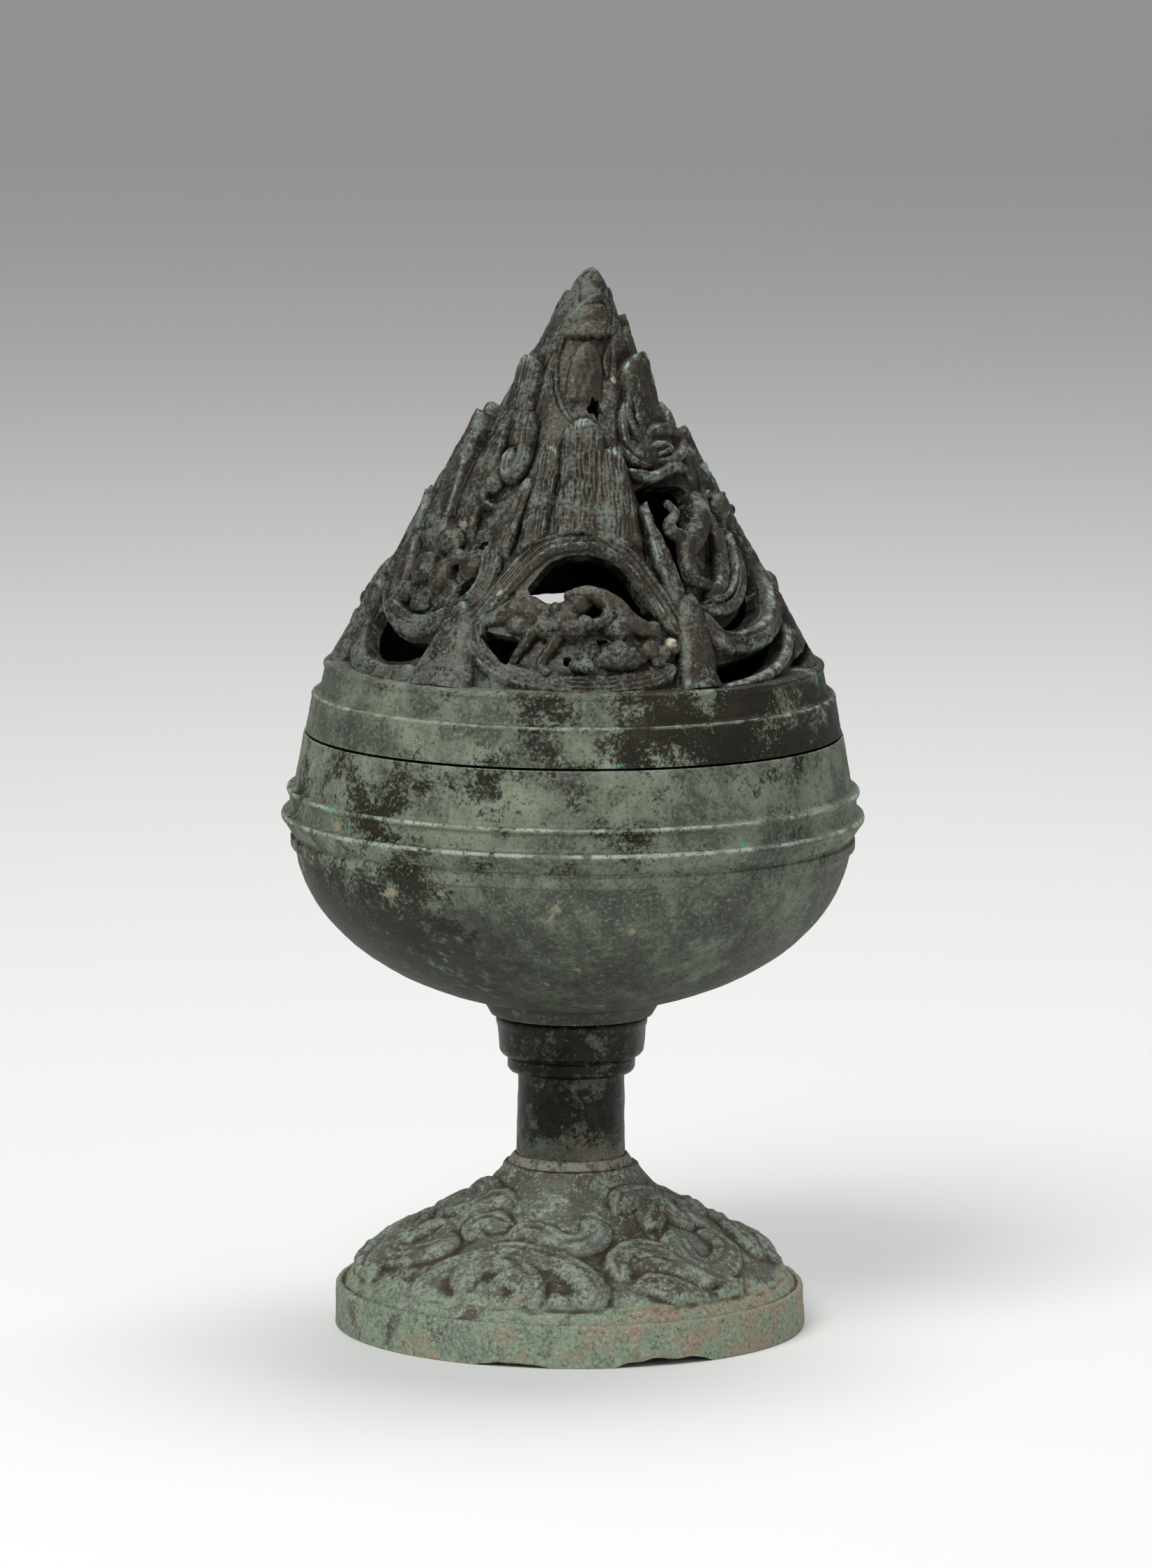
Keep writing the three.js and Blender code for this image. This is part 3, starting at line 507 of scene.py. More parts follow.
def makeFoot(shape):
    # the turned foot, raised along its scrolls where its profile lies above the vault's line: each scroll is
    # a broad ridge with grooves
    line, points, facing = turned(shape["profile"], shape)
    dome = (line[:, 1] > 11.4) & (line[:, 1] > np.interp(line[:, 0], *np.array(shape["vault"]).T))
    bare = points[dome]
    field = 0.35 * waves(bare, 12, 21)
    for turn in np.arange(shape["repeat"]) * 360 / shape["repeat"]:
        for knots in shape["scrolls"]:
            bearing, reach = smoothPath(knots).T
            reach = 18 + (reach - 18) * 1.07
            path = around(reach, bearing + turn, np.interp(reach, *np.array(shape["dome"]).T))
            field = higher(field, ridgeAlong(bare, facing[dome], path, **shape["ridge"]), 0.7)
    height = line[dome, 1:]
    field = field * ramp(height, 11.6, 13.1) * ramp(height, 35, 31)
    points[dome] += facing[dome] * (field + 0.12 * waves(bare, 4, 22))[..., None]
    rough = 0.12 * waves(points, 7, 23) + 0.08 * waves(points, 2.6, 24)
    rough = rough * ((line[:, 0] > 46) & ~dome)[:, None]
    points = points + facing * rough[..., None] * (points[..., 2:] > 0.4)
    arc = np.degrees(np.arctan2(points[..., 0], -points[..., 1]))
    for place, half, depth in shape["chips"]:
        gone = np.clip(1 - ((arc - place) * np.pi / 180 * 51 / half) ** 2, 0, 1) ** 0.5
        gone = depth * gone * (1 + 0.25 * waves(points, 5, 25))
        points[..., 2] = np.maximum(points[..., 2], gone)
    points[..., 2] = np.maximum(points[..., 2], 0)
    mesh, used = quadMesh("foot", points, ringQuads(*points.shape[:2]))
    x, y, z = points.reshape(-1, 3)[used].T
    wear = crestOf(mesh, 12, 0.8) + wornLines(np.where(z < 14, np.hypot(x, y), 0), shape["rings"])
    dress(mesh, "footCasting", "base", ["foot"], footBronze, footVeil, wear)


def footVeil(points):
    # thick on the band and its shoulder, thinner over the dome's relief and at the band's left
    x, y, z = points.T
    sides = 0.004 * np.minimum(x + 12, 0) + 0.005 * np.clip(x - 4, 0, 36)
    lost = 0.6 * np.clip(waves(points * (1, 1, 0.6), 9, 63) - 0.2, 0, 1) * ramp(x, 14, -26)
    return 0.82 - 0.42 * ramp(z, 11.8, 14.3) + (z < 12) * (sides - lost)


makeFoot(footShape)

# lid: the mountain is a cone whose relief is worked out over bearing and height above the lid's band
lidShape = {"level": 145.1, "tilt": np.radians(30.86), "lean": 3.3, "wall": 2.5, "sectors": 8, "cols": 140,
            "rows": 276, "skin": [(-2, 50.6), (0, 49.4), (54, 17.1), (62, 12.9), (70, 8.9), (76, 6.0),
                                  (82, 2.9), (84.2, 1.3), (84.8, 0.03)]}


def skinRadius(height):
    return np.interp(height, *np.array(lidShape["skin"]).T)


def onSkin(bearing, height, out=0.0):
    # a point out from the cone along its slope's normal, with the summit drawn to the right
    tilt = lidShape["tilt"]
    spot = around(skinRadius(height) + out * np.cos(tilt), bearing, height + out * np.sin(tilt))
    spot[..., 0] += lidShape["lean"] * (np.clip(height - 40, 0, None) / 44.9) ** 1.5
    return spot


lidBearing = np.linspace(-60, 300, lidShape["sectors"] * lidShape["cols"], endpoint=False)[None, :]
lidHeight = np.linspace(-1.0, 84.8, lidShape["rows"])[:, None]
lidBearing, lidHeight = (a.copy() for a in np.broadcast_arrays(lidBearing, lidHeight))
lidSkin = onSkin(lidBearing, lidHeight)
lidFacing = onSkin(lidBearing, lidHeight, 1.0) - lidSkin
lidRadius = skinRadius(lidHeight)
lidWander = waves(lidSkin, 7, 34)


def turnFrom(bearing):
    return (lidBearing - bearing + 180) % 360 - 180


def leaf(turn, root, tip, half, low, high, pitch, point, blunt=12, edge=4):
    # a peak like a leaf: its axis runs from root to tip, both bearing and height; half is half its width at
    # the root, narrowing by point, round at the tip; it stands low at the root and high at the tip, flat
    # across when edge is large, with uneven flutes at pitch
    rise = tip[1] - root[1]
    along = (lidHeight - root[1]) / rise
    climb = np.clip(along, 0, 1)
    width = half * (1 - point * climb) * np.sqrt(np.clip(1 - climb ** blunt, 1e-4, 1))
    aside = turnFrom(turn + root[0] + (tip[0] - root[0]) * climb) * np.pi / 180 * lidRadius
    form = (low + (high - low) * climb ** 1.4) * np.sqrt(np.clip(1 - np.abs(aside / width) ** edge, 0, 1))
    if pitch:
        fine = 0.5 + 0.5 * np.cos(2 * np.pi * (aside + 0.35 * lidWander) / pitch)
        broad = 0.5 + 0.5 * np.cos(2 * np.pi * (aside - 0.5 * lidWander) / (2.7 * pitch))
        form = form - ((0.14 + 0.12 * lidWander) * fine ** 2 + 0.2 * broad ** 4) * np.clip(along * 3, 0, 1)
    sunk = np.clip(1 + along * rise / 3, 0, 1)
    return np.where((np.abs(aside) < width) & (along < 1) & (sunk > 0), form * sunk, offForm)


def boss(bearing, height, wide, tall, high):
    # a low ellipsoid
    x = turnFrom(bearing) * np.pi / 180 * lidRadius / wide
    y = (lidHeight - height) / np.cos(lidShape["tilt"]) / tall
    reach = x ** 2 + y ** 2
    return np.where(reach < 1, high * np.sqrt(np.clip(1 - reach, 0, 1)), offForm)


def band(knots, half, height, ridges=1, groove=0.0, hatch=0.0, turn=0.0):
    # a raised band on the cone through knots of bearing and height
    way = smoothPath(knots)
    path = onSkin(way[:, 0] + turn, way[:, 1])
    return ridgeAlong(lidSkin, lidFacing, path, half, height, ridges, groove, hatch=hatch)


# leaves, bands and bosses below are rows of values for the functions above; a gap or mouth is the outline of
# an opening, in bearing and height
# each hill: fluted peaks over an arch, a spire at each side, and the frame under the beasts
hillLeaves = [
    ((3, 18), (3, 45), 15.5, 1.9, 2.2, 0, 0.45, 8), ((4, 29), (3.4, 52.9), 7.6, 2.4, 4.0, 0.95, 0.38),
    ((17, 29), (18.6, 47.2), 5.4, 2.4, 3.7, 0.95, 0.42, 10),
    ((0.5, 29), (0.5, 40.9), 5.4, 2.9, 3.7, 0.95, 0.15, 8),
    ((15.5, 28), (17, 38.6), 3.8, 2.8, 3.5, 0.95, 0.15, 8),
    ((-15.3, 27), (-12.6, 48), 3.4, 2.8, 4.5, 0.9, 0.25, 14),
    ((-15.6, 27), (-14.4, 38.3), 3.3, 3.1, 4.1, 0.9, 0.1, 8),
    ((-27.5, 27), (-20.8, 40.8), 2.5, 2.2, 3.9, 0.9, 0.3), ((33.5, 14), (29.6, 36), 2.7, 2.4, 3.8, 1.0, 0.25)]
hillSpires = [((-35.5, -4), (-33.8, 15.8), 9.8, 2.6, 3.4, 0, 0.7, 14, 2.6),
              ((31.8, -4), (35.8, 17.3), 5.6, 3.0, 3.8, 0, 0.42, 14, 2.6)]
hillBands = [
    ([(-30.2, 11), (-28.6, 13.4), (-25.6, 16.8), (-21, 21.4), (-16, 25.4), (-8.9, 28.5), (2.4, 29.6),
      (11, 28.9), (18.7, 25.8), (23.9, 20.8), (27.4, 16.2), (30.4, 9.8)], 2.7, 2.5, 4, 0.5),
    ([(-30, 14.5), (-28.6, 10.5), (-25.5, 7), (-20, 4.2), (-13, 2.2), (-2, 1.0), (9, 0.9), (19, 1.9),
      (27, 4.4)], 2.7, 1.8, 5, 0.4)]
hillMouth = [(-15, 19.6), (-10.6, 23.8), (-4.2, 26), (2.3, 26.6), (10.1, 25.8), (16.6, 22.7), (20, 19.3),
             (22.2, 16), (24.6, 13.3), (21, 11.4), (15, 12), (10, 13.4), (3, 14), (-4, 14), (-10, 14.8)]
hillGaps = [[(-26.2, 9.6), (-25, 10.8), (-20, 10.4), (-15, 9.6), (-15.9, 6.8), (-17.4, 4.5), (-20.7, 6)],
            [(6.2, 9.8), (9.2, 9.6), (9.1, 7.5), (6.3, 7.6)],
            [(-2.9, 6.3), (-1, 6.5), (-0.7, 4.9), (-2.5, 4.7)]]

# right valley: a tall fluted peak, a rolling cloud, a volute under the ape and two troughs of water
rightLeaves = [
    ((54, 46), (60, 65.6), 6.2, 1.6, 4.2, 0.95, 0.25, 18), ((74, 40), (80, 53.5), 3.0, 1.6, 2.8, 0, 0.3, 8),
    ((78, 30), (86, 45.5), 3.4, 1.6, 2.8, 1.0, 0.3, 8)]
rightBands = [
    ([(35, 57), (30.5, 53), (29.5, 49.5), (31, 46.5)], 1.0, 2.2),
    ([(40.8, 59), (35.7, 54.6), (35.9, 51.1), (39, 48.4)], 1.0, 2.5),
    ([(49, 57.5), (42.3, 53.6), (44.1, 50.3)], 1.0, 2.6),
    ([(43.6, 49.6), (54.2, 50.4), (67.9, 50), (77, 48), (73.8, 45.7), (62, 44.4), (52, 43.8), (44, 44.1)],
     1.4, 3.1, 2, 0.3),
    ([(41.5, 46.4), (47.4, 47.4), (55, 47.2), (57.5, 46.2), (51, 45.6), (45.5, 45.9)], 0.8, 3.0),
    ([(26, 43.4), (30.9, 42), (37.7, 41.2), (45.3, 41.8), (54.6, 42.6), (66, 41.8)], 1.4, 3.3, 2, 0.3),
    ([(27.4, 47.4), (29.4, 45), (34.6, 43.6), (42.6, 43.4)], 1.0, 2.8),
    ([(66, 30.5), (60.5, 26), (55.6, 21.9), (51, 18.7), (44, 17)], 2.0, 3.0),
    ([(72, 29.5), (66, 23.4), (58.6, 19.1), (50.2, 16.3), (42, 16)], 0.9, 3.2, 2, 0.3),
    ([(74, 26.6), (68, 21), (59.5, 16.7), (52.5, 14.6), (44.2, 14.3), (40, 15.6)], 1.7, 2.4),
    ([(39.4, 14.4), (40.2, 10.8), (43.5, 8.2), (49.7, 7.4), (59.2, 7.9), (71.1, 10), (82, 13.4), (89, 19.4),
      (90, 28), (86, 36), (80, 42)], 2.8, 3.0, 4, 0.3, 0.3),
    ([(36.6, -1.6), (44, -1), (53, 0), (62, 1.6), (70, 3.6), (78, 6.4), (86, 10.8)], 1.5, 2.4, 2, 0.35)]
rightBosses = [(50, 46.2, 10, 5.8, 1.9)]
rightGaps = [
    [(28.6, 39.2), (34, 40), (45, 39.7), (56, 39.2), (60.5, 37.6), (56, 34.6), (50, 30), (46, 26), (43, 22),
     (39, 19.4), (36, 21.5), (33.5, 26), (31, 31)],
    [(46, 10.6), (50, 10.3), (56, 10.8), (64, 12.2), (72, 14.6), (79, 17.6), (82, 21), (82, 24.4), (77, 23.6),
     (71, 19.8), (66, 17), (60, 14.5), (54, 12.5)],
    [(37, 3.9), (44, 4.2), (50.8, 4.7), (58, 5.3), (65.6, 6.8), (72, 8.6), (77, 10.2), (78.5, 8.6), (72, 5.8),
     (65, 3.9), (58, 2.4), (51, 1.2), (44, 0.4), (37.2, -0.2)],
    [(68, -0.2), (76, 0.2), (84, 1.2), (88, 2.8), (84, 3.2), (77, 2), (70, 0.9)]]

# left valley: a tall peak, leaning slabs, and two troughs of water round a heap of boulders
leftLeaves = [
    ((-45, 48), (-53, 65), 4.8, 1.6, 4.2, 0.95, 0.3, 14),
    ((-46.5, 31), (-45.5, 51), 2.5, 2.0, 3.8, 0, 0.3, 10, 6),
    ((-68, 28), (-84, 52.6), 6.2, 1.6, 4.4, 0, 0.5, 8, 8),
    ((-84, 34), (-91, 48.6), 3.4, 1.6, 3.4, 0, 0.3, 8, 8),
    ((-88, 26), (-93, 42.4), 3.6, 1.6, 3.2, 0, 0.3, 8, 8),
    ((-77, 17), (-87, 35), 6.2, 1.4, 4.2, 0, 0.55, 8, 8),
    ((-88, 6), (-93, 18.5), 4.0, 1.4, 2.8, 0, 0.3, 8, 8)]
leftBands = [
    ([(-33.2, 28), (-30.2, 25.6), (-29.4, 21.7), (-31, 17.7), (-36.1, 14.6), (-41.5, 12.1), (-47.7, 10.6),
      (-56, 10.9), (-64.7, 12.8), (-71.7, 15.6), (-77.3, 20), (-79, 26), (-77, 33)], 2.7, 2.5, 5, 0.35),
    ([(-87, 13.5), (-83, 8.8), (-77.5, 4.6), (-69, 1.6), (-59, 0.5), (-50, 0.5), (-42, 1.8)], 2.4, 1.8, 6,
     0.3),
    ([(-33, 54.6), (-30.6, 50.5), (-28.4, 46.6), (-28.6, 43.6), (-31.4, 41.6), (-34.6, 42.2), (-36, 44.4),
      (-36.6, 47.4)], 1.8, 3.4, 3, 0.3),
    ([(-38.6, 46), (-40, 42.8), (-43.6, 40.4), (-44, 37.4), (-41, 35.6), (-35, 35.4)], 1.3, 2.6, 2, 0.25)]
# the rear valley's upper trough hangs a little higher, and light passes under it
rearTrough = ([(-33.2, 28), (-30.2, 25.6), (-29.8, 22), (-32, 18.9), (-36.5, 16.4), (-41.5, 14.3),
               (-47.7, 13), (-56, 13.2), (-64.7, 14.6), (-71.7, 17), (-77.3, 21), (-79, 26.5), (-77, 33)],
              2.7, 2.5, 5, 0.35)
rearBands = [rearTrough] + leftBands[1:]
leftBosses = [(-40.8, 40, 2.4, 3.2, 3.0)]
leftGaps = [
    [(-44.8, 14.2), (-42.6, 16.9), (-40, 19.3), (-36.9, 20.7), (-35.6, 18.6), (-38.4, 16.2), (-41.8, 14.2)],
    [(-76.5, 12.2), (-76.5, 9), (-73.5, 6.4), (-67, 4.2), (-59, 3.2), (-52, 3.3), (-45, 4.7), (-42, 6.4),
     (-44, 7.6), (-49.2, 7.3), (-57.3, 8.3), (-65, 10.2), (-72, 13)],
    [(-38.2, 27.2), (-36.8, 28.7), (-34.2, 28.5), (-35.8, 27)]]
rearSlot = [(-67.4, 11.4), (-66.6, 8.8), (-64, 6.6), (-58, 5), (-51, 4.6), (-44, 5.6), (-41.6, 7), (-44, 9.4),
            (-49.2, 10), (-57.3, 10.5), (-63, 11)]
rearGaps = [leftGaps[0], rearSlot, leftGaps[2]]

# summit: a hood over a shield, a curl, and facets that climb to the tip
summitLeaves = [
    ((-30, 68), (-32, 80), 2.0, 0.5, 1.3, 0, 0.5), ((50, 68), (56, 80.2), 2.2, 0.5, 1.4, 1.0, 0.5),
    ((-40, 58), (-38, 72.5), 2.4, 0.5, 1.4, 1.0, 0.5), ((76, 58), (80, 72), 3.0, 0.5, 1.5, 1.0, 0.5),
    ((105, 56), (102, 74), 3.2, 0.5, 1.7, 1.0, 0.5), ((150, 60), (148, 78), 3.2, 0.5, 1.7, 1.0, 0.5),
    ((195, 58), (192, 74), 3.2, 0.5, 1.7, 1.0, 0.5), ((235, 62), (236, 79), 3.0, 0.5, 1.6, 1.0, 0.5),
    ((275, 57), (274, 67), 3.0, 0.3, 0.6, 1.0, 0.5)]
hoodRoll = [(-28.5, 66.2), (-31.5, 69.6), (-30.5, 72.7), (-20.5, 75.9), (-6, 77.5), (12.5, 78.5), (34, 78.4),
            (48.5, 77), (54, 75), (50, 72.8), (42, 71)]
hoodLip = [(-33, 70.4), (-20, 71.6), (-5, 71.9), (9, 72.1), (25, 71.8), (38, 71.7), (46, 72.4)]
hoodCurl = [(-14, 73.4), (-2, 74.4), (10, 75.2), (22, 75.4)]
shieldLine = [(-30.5, 66.5), (-27.5, 63.9), (-23.5, 61.3), (-18, 58.2), (-10.5, 55.2), (-3, 53.1)]
shieldPost = [(25, 62.5), (27, 66), (35, 69)]
summitGap = [(5.2, 56.3), (8.4, 57.2), (10.4, 58.4), (13.6, 57.6), (14.8, 58), (17.2, 56), (18, 54.6),
             (15.4, 55), (13.4, 53.4), (11.6, 55), (8, 55.2)]


def raised(field, forms, blend=0.35):
    # the field with each form in turn laid over it
    for form in forms:
        field = higher(field, form, blend)
    return field


def mountainRelief():
    # the highest of all forms at each point of the cone, over a slightly uneven ground; the ground is sunk in
    # each niche and under the hood
    field = 0.25 * waves(lidSkin, 9, 31) + 0.1
    for hill in (0, 120, 240):
        field = raised(field, (leaf(hill, *row) for row in hillLeaves), 0.2)
        niche = boss(hill, 8, 19, 26, 1.0) > offForm
        field = np.where(niche, np.clip(field, 0.7, 1.0), field)
        field = raised(field, (band(*row, turn=hill) for row in hillBands))
        field = raised(field, (leaf(hill, *row) for row in hillSpires), 0.8)
    for leaves, bands, bosses, turn in [
            (rightLeaves, rightBands, rightBosses, 0), (leftLeaves, leftBands, leftBosses, 0),
            (leftLeaves, rearBands, leftBosses, 240)]:
        field = raised(field, (leaf(turn, *row) for row in leaves), 0.2)
        field = raised(field, (boss(bearing + turn, *rest) for bearing, *rest in bosses))
        field = raised(field, (band(*row, turn=turn) for row in bands))
    field = raised(field, (leaf(0, *row) for row in summitLeaves))
    hood = boss(5, 64.5, 6.2, 13, 1.0)
    field = np.where(hood > offForm, np.minimum(field, 0.2 - 0.9 * np.clip(hood, 0, 1)), field)
    shield = leaf(0, (3, 60.7), (4, 69.7), 3.9, 0.35, 0.35, 0, 0.05, 2.4, 8)
    field = higher(field, np.where(shield > offForm, shield + 0.03 * waves(lidSkin, 1.4, 38), offForm))
    field = raised(field, [band(shieldLine, 0.6, 0.6), band(shieldPost, 0.8, 0.6), band(hoodRoll, 0.8, 1.2)])
    field = higher(field, boss(7, 74.2, 5.4, 4.2, 1.35), 0.5)
    field = raised(field, [band(hoodLip, 1.7, 1.6), band(hoodCurl, 0.9, 1.7)], 0.8)
    return field + 0.1 * waves(lidSkin, 3.2, 32) + 0.06 * waves(lidSkin, 1.3, 33)


def softened(field, cells, passes=2):
    # box average over a square of cells, round the whole ring
    for _ in range(passes):
        for axis, mode in ((1, "wrap"), (0, "edge")):
            pad = [(0, 0), (0, 0)]
            pad[axis] = (cells + 1, cells)
            total = np.cumsum(np.pad(field, pad, mode=mode), axis=axis)
            size = field.shape[axis]
            cut = [np.take(total, np.arange(k, k + size), axis=axis) for k in (2 * cells + 1, 0)]
            field = (cut[0] - cut[1]) / (2 * cells + 1)
    return field


def pierce(keep, knots, turn, seed):
    # opens the cells inside a ragged outline and draws the points at its edge on to the outline
    rng = np.random.default_rng(seed)
    knots = np.array(knots, float)
    middle = knots.mean(0)
    scale = np.array([np.pi / 180 * skinRadius(middle[1]), 1 / np.cos(lidShape["tilt"])])
    ring = smoothPath(np.vstack([knots, knots[:1]]) - middle, 24)[:-1] * scale
    swing = np.arange(len(ring)) / len(ring) * 2 * np.pi
    ragged = sum(np.sin(swing * k + rng.uniform(0, 6.28)) for k in (5, 9, 14, 23)) * 0.06
    ring = ring * (1 + ragged / np.maximum(np.linalg.norm(ring, axis=1), 1))[:, None]
    x = turnFrom(middle[0] + turn) * scale[0]
    y = (lidHeight - middle[1]) * scale[1]
    near = (np.abs(x) < np.abs(ring[:, 0]).max() + 2) & (np.abs(y) < np.abs(ring[:, 1]).max() + 2)
    cellX = (x + np.roll(x, -1, 1))[:-1] / 2
    cellY = (y[:-1] + y[1:]) / 2
    look = near[:-1]
    px, py = cellX[look][:, None], cellY[look][:, None]
    x0, y0 = ring.T
    x1, y1 = np.roll(ring, -1, 0).T
    slope = np.where(y1 == y0, 1e-9, y1 - y0)
    crossing = ((y0 > py) != (y1 > py)) & (px < (x1 - x0) * (py - y0) / slope + x0)
    inside = np.zeros_like(keep)
    inside[look] = crossing.sum(1) % 2 == 1
    keep &= ~inside
    some = np.zeros(lidBearing.shape, bool)
    every = np.ones(lidBearing.shape, bool)
    for down in (0, 1):
        for left in (0, 1):
            cell = np.roll(np.pad(inside, ((down, 1 - down), (0, 0))), left, 1)
            some |= cell
            every &= cell
    edge = some & ~every
    ex, ey = x[edge], y[edge]
    best = ((ex[:, None] - x0) ** 2 + (ey[:, None] - y0) ** 2).argmin(1)
    lidBearing[edge] += (x0[best] - ex) / scale[0]
    lidHeight[edge] += (y0[best] - ey) / scale[1]
    return keep


def lidVeil(points):
    # more crust at the lower left and near the summit's tip, little at the right, none on the hood's panel
    x, y, z = points.T
    panel = np.exp(-((x - 2) / 4) ** 2 - ((z - 209) / 5) ** 2) * (y < 0)
    left = 0.16 * ramp(z, 158, 144) * (x < 0)
    return 0.4 - 0.0012 * x + left + 0.13 * ramp(z, 217, 225) - 0.3 * panel


# chalky deposits on the lid: bearing, height, distance from the skin and size
chalkSpots = [(32, 61.9, 0.6, 1.4), (26, 8.3, 2.5, 2.2), (-47, 30.8, 2.0, 2.0), (14.5, 51, 1.0, 1.4),
              (-23, 18.1, 2.0, 1.2)]


def lidChalk(points):
    # the highest of the bell curves round the deposits' places
    chalk = np.zeros(len(points))
    for *place, size in chalkSpots:
        away = points - onSkin(*place) - (0, 0, lidShape["level"])
        chalk = np.maximum(chalk, np.exp(-(away ** 2).sum(-1) / size ** 2))
    return chalk


def makeMountain(shape):
    # eight closed wedges of the openwork wall: relief outside, plain vault inside, walls round every opening
    relief = mountainRelief()
    steady = np.clip(lidRadius / 16, 0.35, 1)  # the average spans less of the ring towards the tip
    smoky = 0.13 * np.exp(-((lidBearing - 5) / 22) ** 2 - ((lidHeight - 64) / 5) ** 2)  # on the hood's panel
    crest = np.clip(0.5 + (relief - softened(relief, 4)) / 1.3 * steady - smoky, 0, 1)
    keep = np.ones((shape["rows"] - 1, lidBearing.shape[1]), bool)
    outlines = [(knots, hill) for hill in (0, 120, 240) for knots in [hillMouth] + hillGaps]
    outlines += [(knots, 0) for knots in rightGaps + leftGaps + [summitGap]]
    outlines += [(knots, 240) for knots in rearGaps]
    for seed, (knots, turn) in enumerate(outlines):
        keep = pierce(keep, knots, turn, seed)
    for _ in range(3):  # no two cells may meet at a corner alone
        a, b = keep[:-1], keep[1:]
        c, d = np.roll(a, -1, 1), np.roll(b, -1, 1)
        keep[:-1] &= ~(a & d & ~b & ~c)
        keep[1:] &= ~(b & c & ~a & ~d)
    outer = onSkin(lidBearing, lidHeight, relief)
    # inside, the wall keeps its thickness up to vaultFrom, and a flat ceiling closes the hollow above it
    vaultFrom = 58
    vault = np.minimum(lidHeight, 62) + 0.15 * np.clip(lidHeight - 62, 0, None)
    closing = 1 - 0.995 * ramp(lidHeight, vaultFrom, 84.8)
    ceiling = around(np.maximum(skinRadius(vault) - 2.9, 0.5) * closing, lidBearing, vault)
    inner = onSkin(lidBearing, lidHeight, -shape["wall"])
    inner = np.where(lidHeight[..., None] > vaultFrom, ceiling, inner)
    rows, cols = shape["rows"], shape["cols"] + 1
    index = np.arange(rows * cols).reshape(rows, cols)
    back = index + rows * cols
    face = np.stack([index[:-1, :-1], index[:-1, 1:], index[1:, 1:], index[1:, :-1]], -1)
    wall = np.stack([index[:-1], index[1:], back[1:], back[:-1]], -1)
    sill = np.stack([index[:, :-1], index[:, 1:], back[:, 1:], back[:, :-1]], -1)
    for k in range(shape["sectors"]):
        pick = (np.arange(cols) + k * shape["cols"]) % lidBearing.shape[1]
        cells = keep[:, pick[:-1]]
        shut = np.pad(cells, 1)
        left, right = shut[1:-1, :-1], shut[1:-1, 1:]
        below, above = shut[:-1, 1:-1], shut[1:, 1:-1]
        quads = [face[cells], face[cells][:, ::-1] + rows * cols, wall[right & ~left],
                 wall[left & ~right][:, ::-1], sill[below & ~above], sill[above & ~below][:, ::-1]]
        points = np.concatenate([outer[:, pick].reshape(-1, 3), inner[:, pick].reshape(-1, 3)])
        points[:, 2] += shape["level"]
        mesh, used = quadMesh("mountain", points, np.vstack(quads))
        wear = np.concatenate([crest[:, pick].ravel(), np.full(rows * cols, 0.4)])[used]
        dress(mesh, "mountainWedge" + str(k + 1), "lid", ["lid_shell"], lidBronze, lidVeil,
              wear, crease=70)


makeMountain(lidShape)

# lid band: two plain steps under the mountain, and the bore that goes over the bowl's lip
bandShape = {"profile": [(55.4, -15.2), (57.8, -15.2), (57.6, -14.4), (56.4, -8.0), (56.45, -7.2),
                         (56.1, -6.8), (54.9, -6.5), (54.65, -6.1), (53.6, -1.6), (53.9, -1.0),
                         (53.8, -0.4), (52.9, 0.0), (49.2, 0.25), (47.2, 0.1), (46.7, -0.4),
                         (52.6, -6.8), (55.4, -10.2)],
             "cols": 360, "step": 0.6, "cut": 0.16, "ridges": [(-6.9, 0.17)]}


def bandVeil(points):
    # green at the left, worn brown from the middle to the right, with a few patches
    x = points[:, 0]
    return 0.5 - 0.007 * x + 0.12 * ramp(x, 40, 50) + 0.16 * waves(points * (1, 1, 2), 16, 44)


def makeLidBand(shape):
    # the profile carried round the axis, with fine level scratches left by the turning
    line, points, facing = turned(shape["profile"], shape)
    points[..., 2] += lidShape["level"]
    scratches = 0.035 * waves(points * (0.12, 0.12, 1.6), 1.2, 43)
    uneven = (0.1 * waves(points, 30, 41) + 0.05 * waves(points, 5, 42) + scratches) * (line[:, :1] > 48)
    points = points + facing * uneven[..., None] * (points[..., 2:] > 130.4)
    mesh, used = quadMesh("lidBand", points, ringQuads(*points.shape[:2]))
    height = points.reshape(-1, 3)[used, 2] - lidShape["level"]
    wear = crestOf(mesh, 8, 0.6) + wornLines(height, shape["ridges"])
    dress(mesh, "lidBand", "lid", ["lid_shell"], bowlBronze, bandVeil, wear)


makeLidBand(bandShape)


def lumpGrid(bearing, height, out, wide, tall, deep):
    # an ellipsoid on the cone's own axes at that place: across, up the slope and outward
    outward = onSkin(bearing, height, 1.0) - onSkin(bearing, height)
    across = np.array([np.cos(np.radians(bearing)), np.sin(np.radians(bearing)), 0])
    upward = np.cross(outward, across)
    turn, rise = np.meshgrid(np.linspace(0, 2 * np.pi, 20, endpoint=False), np.linspace(-1.55, 1.55, 12))
    ball = np.stack([wide * np.cos(turn) * np.cos(rise), tall * np.sin(turn) * np.cos(rise),
                     deep * np.sin(rise)], -1)
    return onSkin(bearing, height, out) + ball @ np.stack([across, upward, outward])


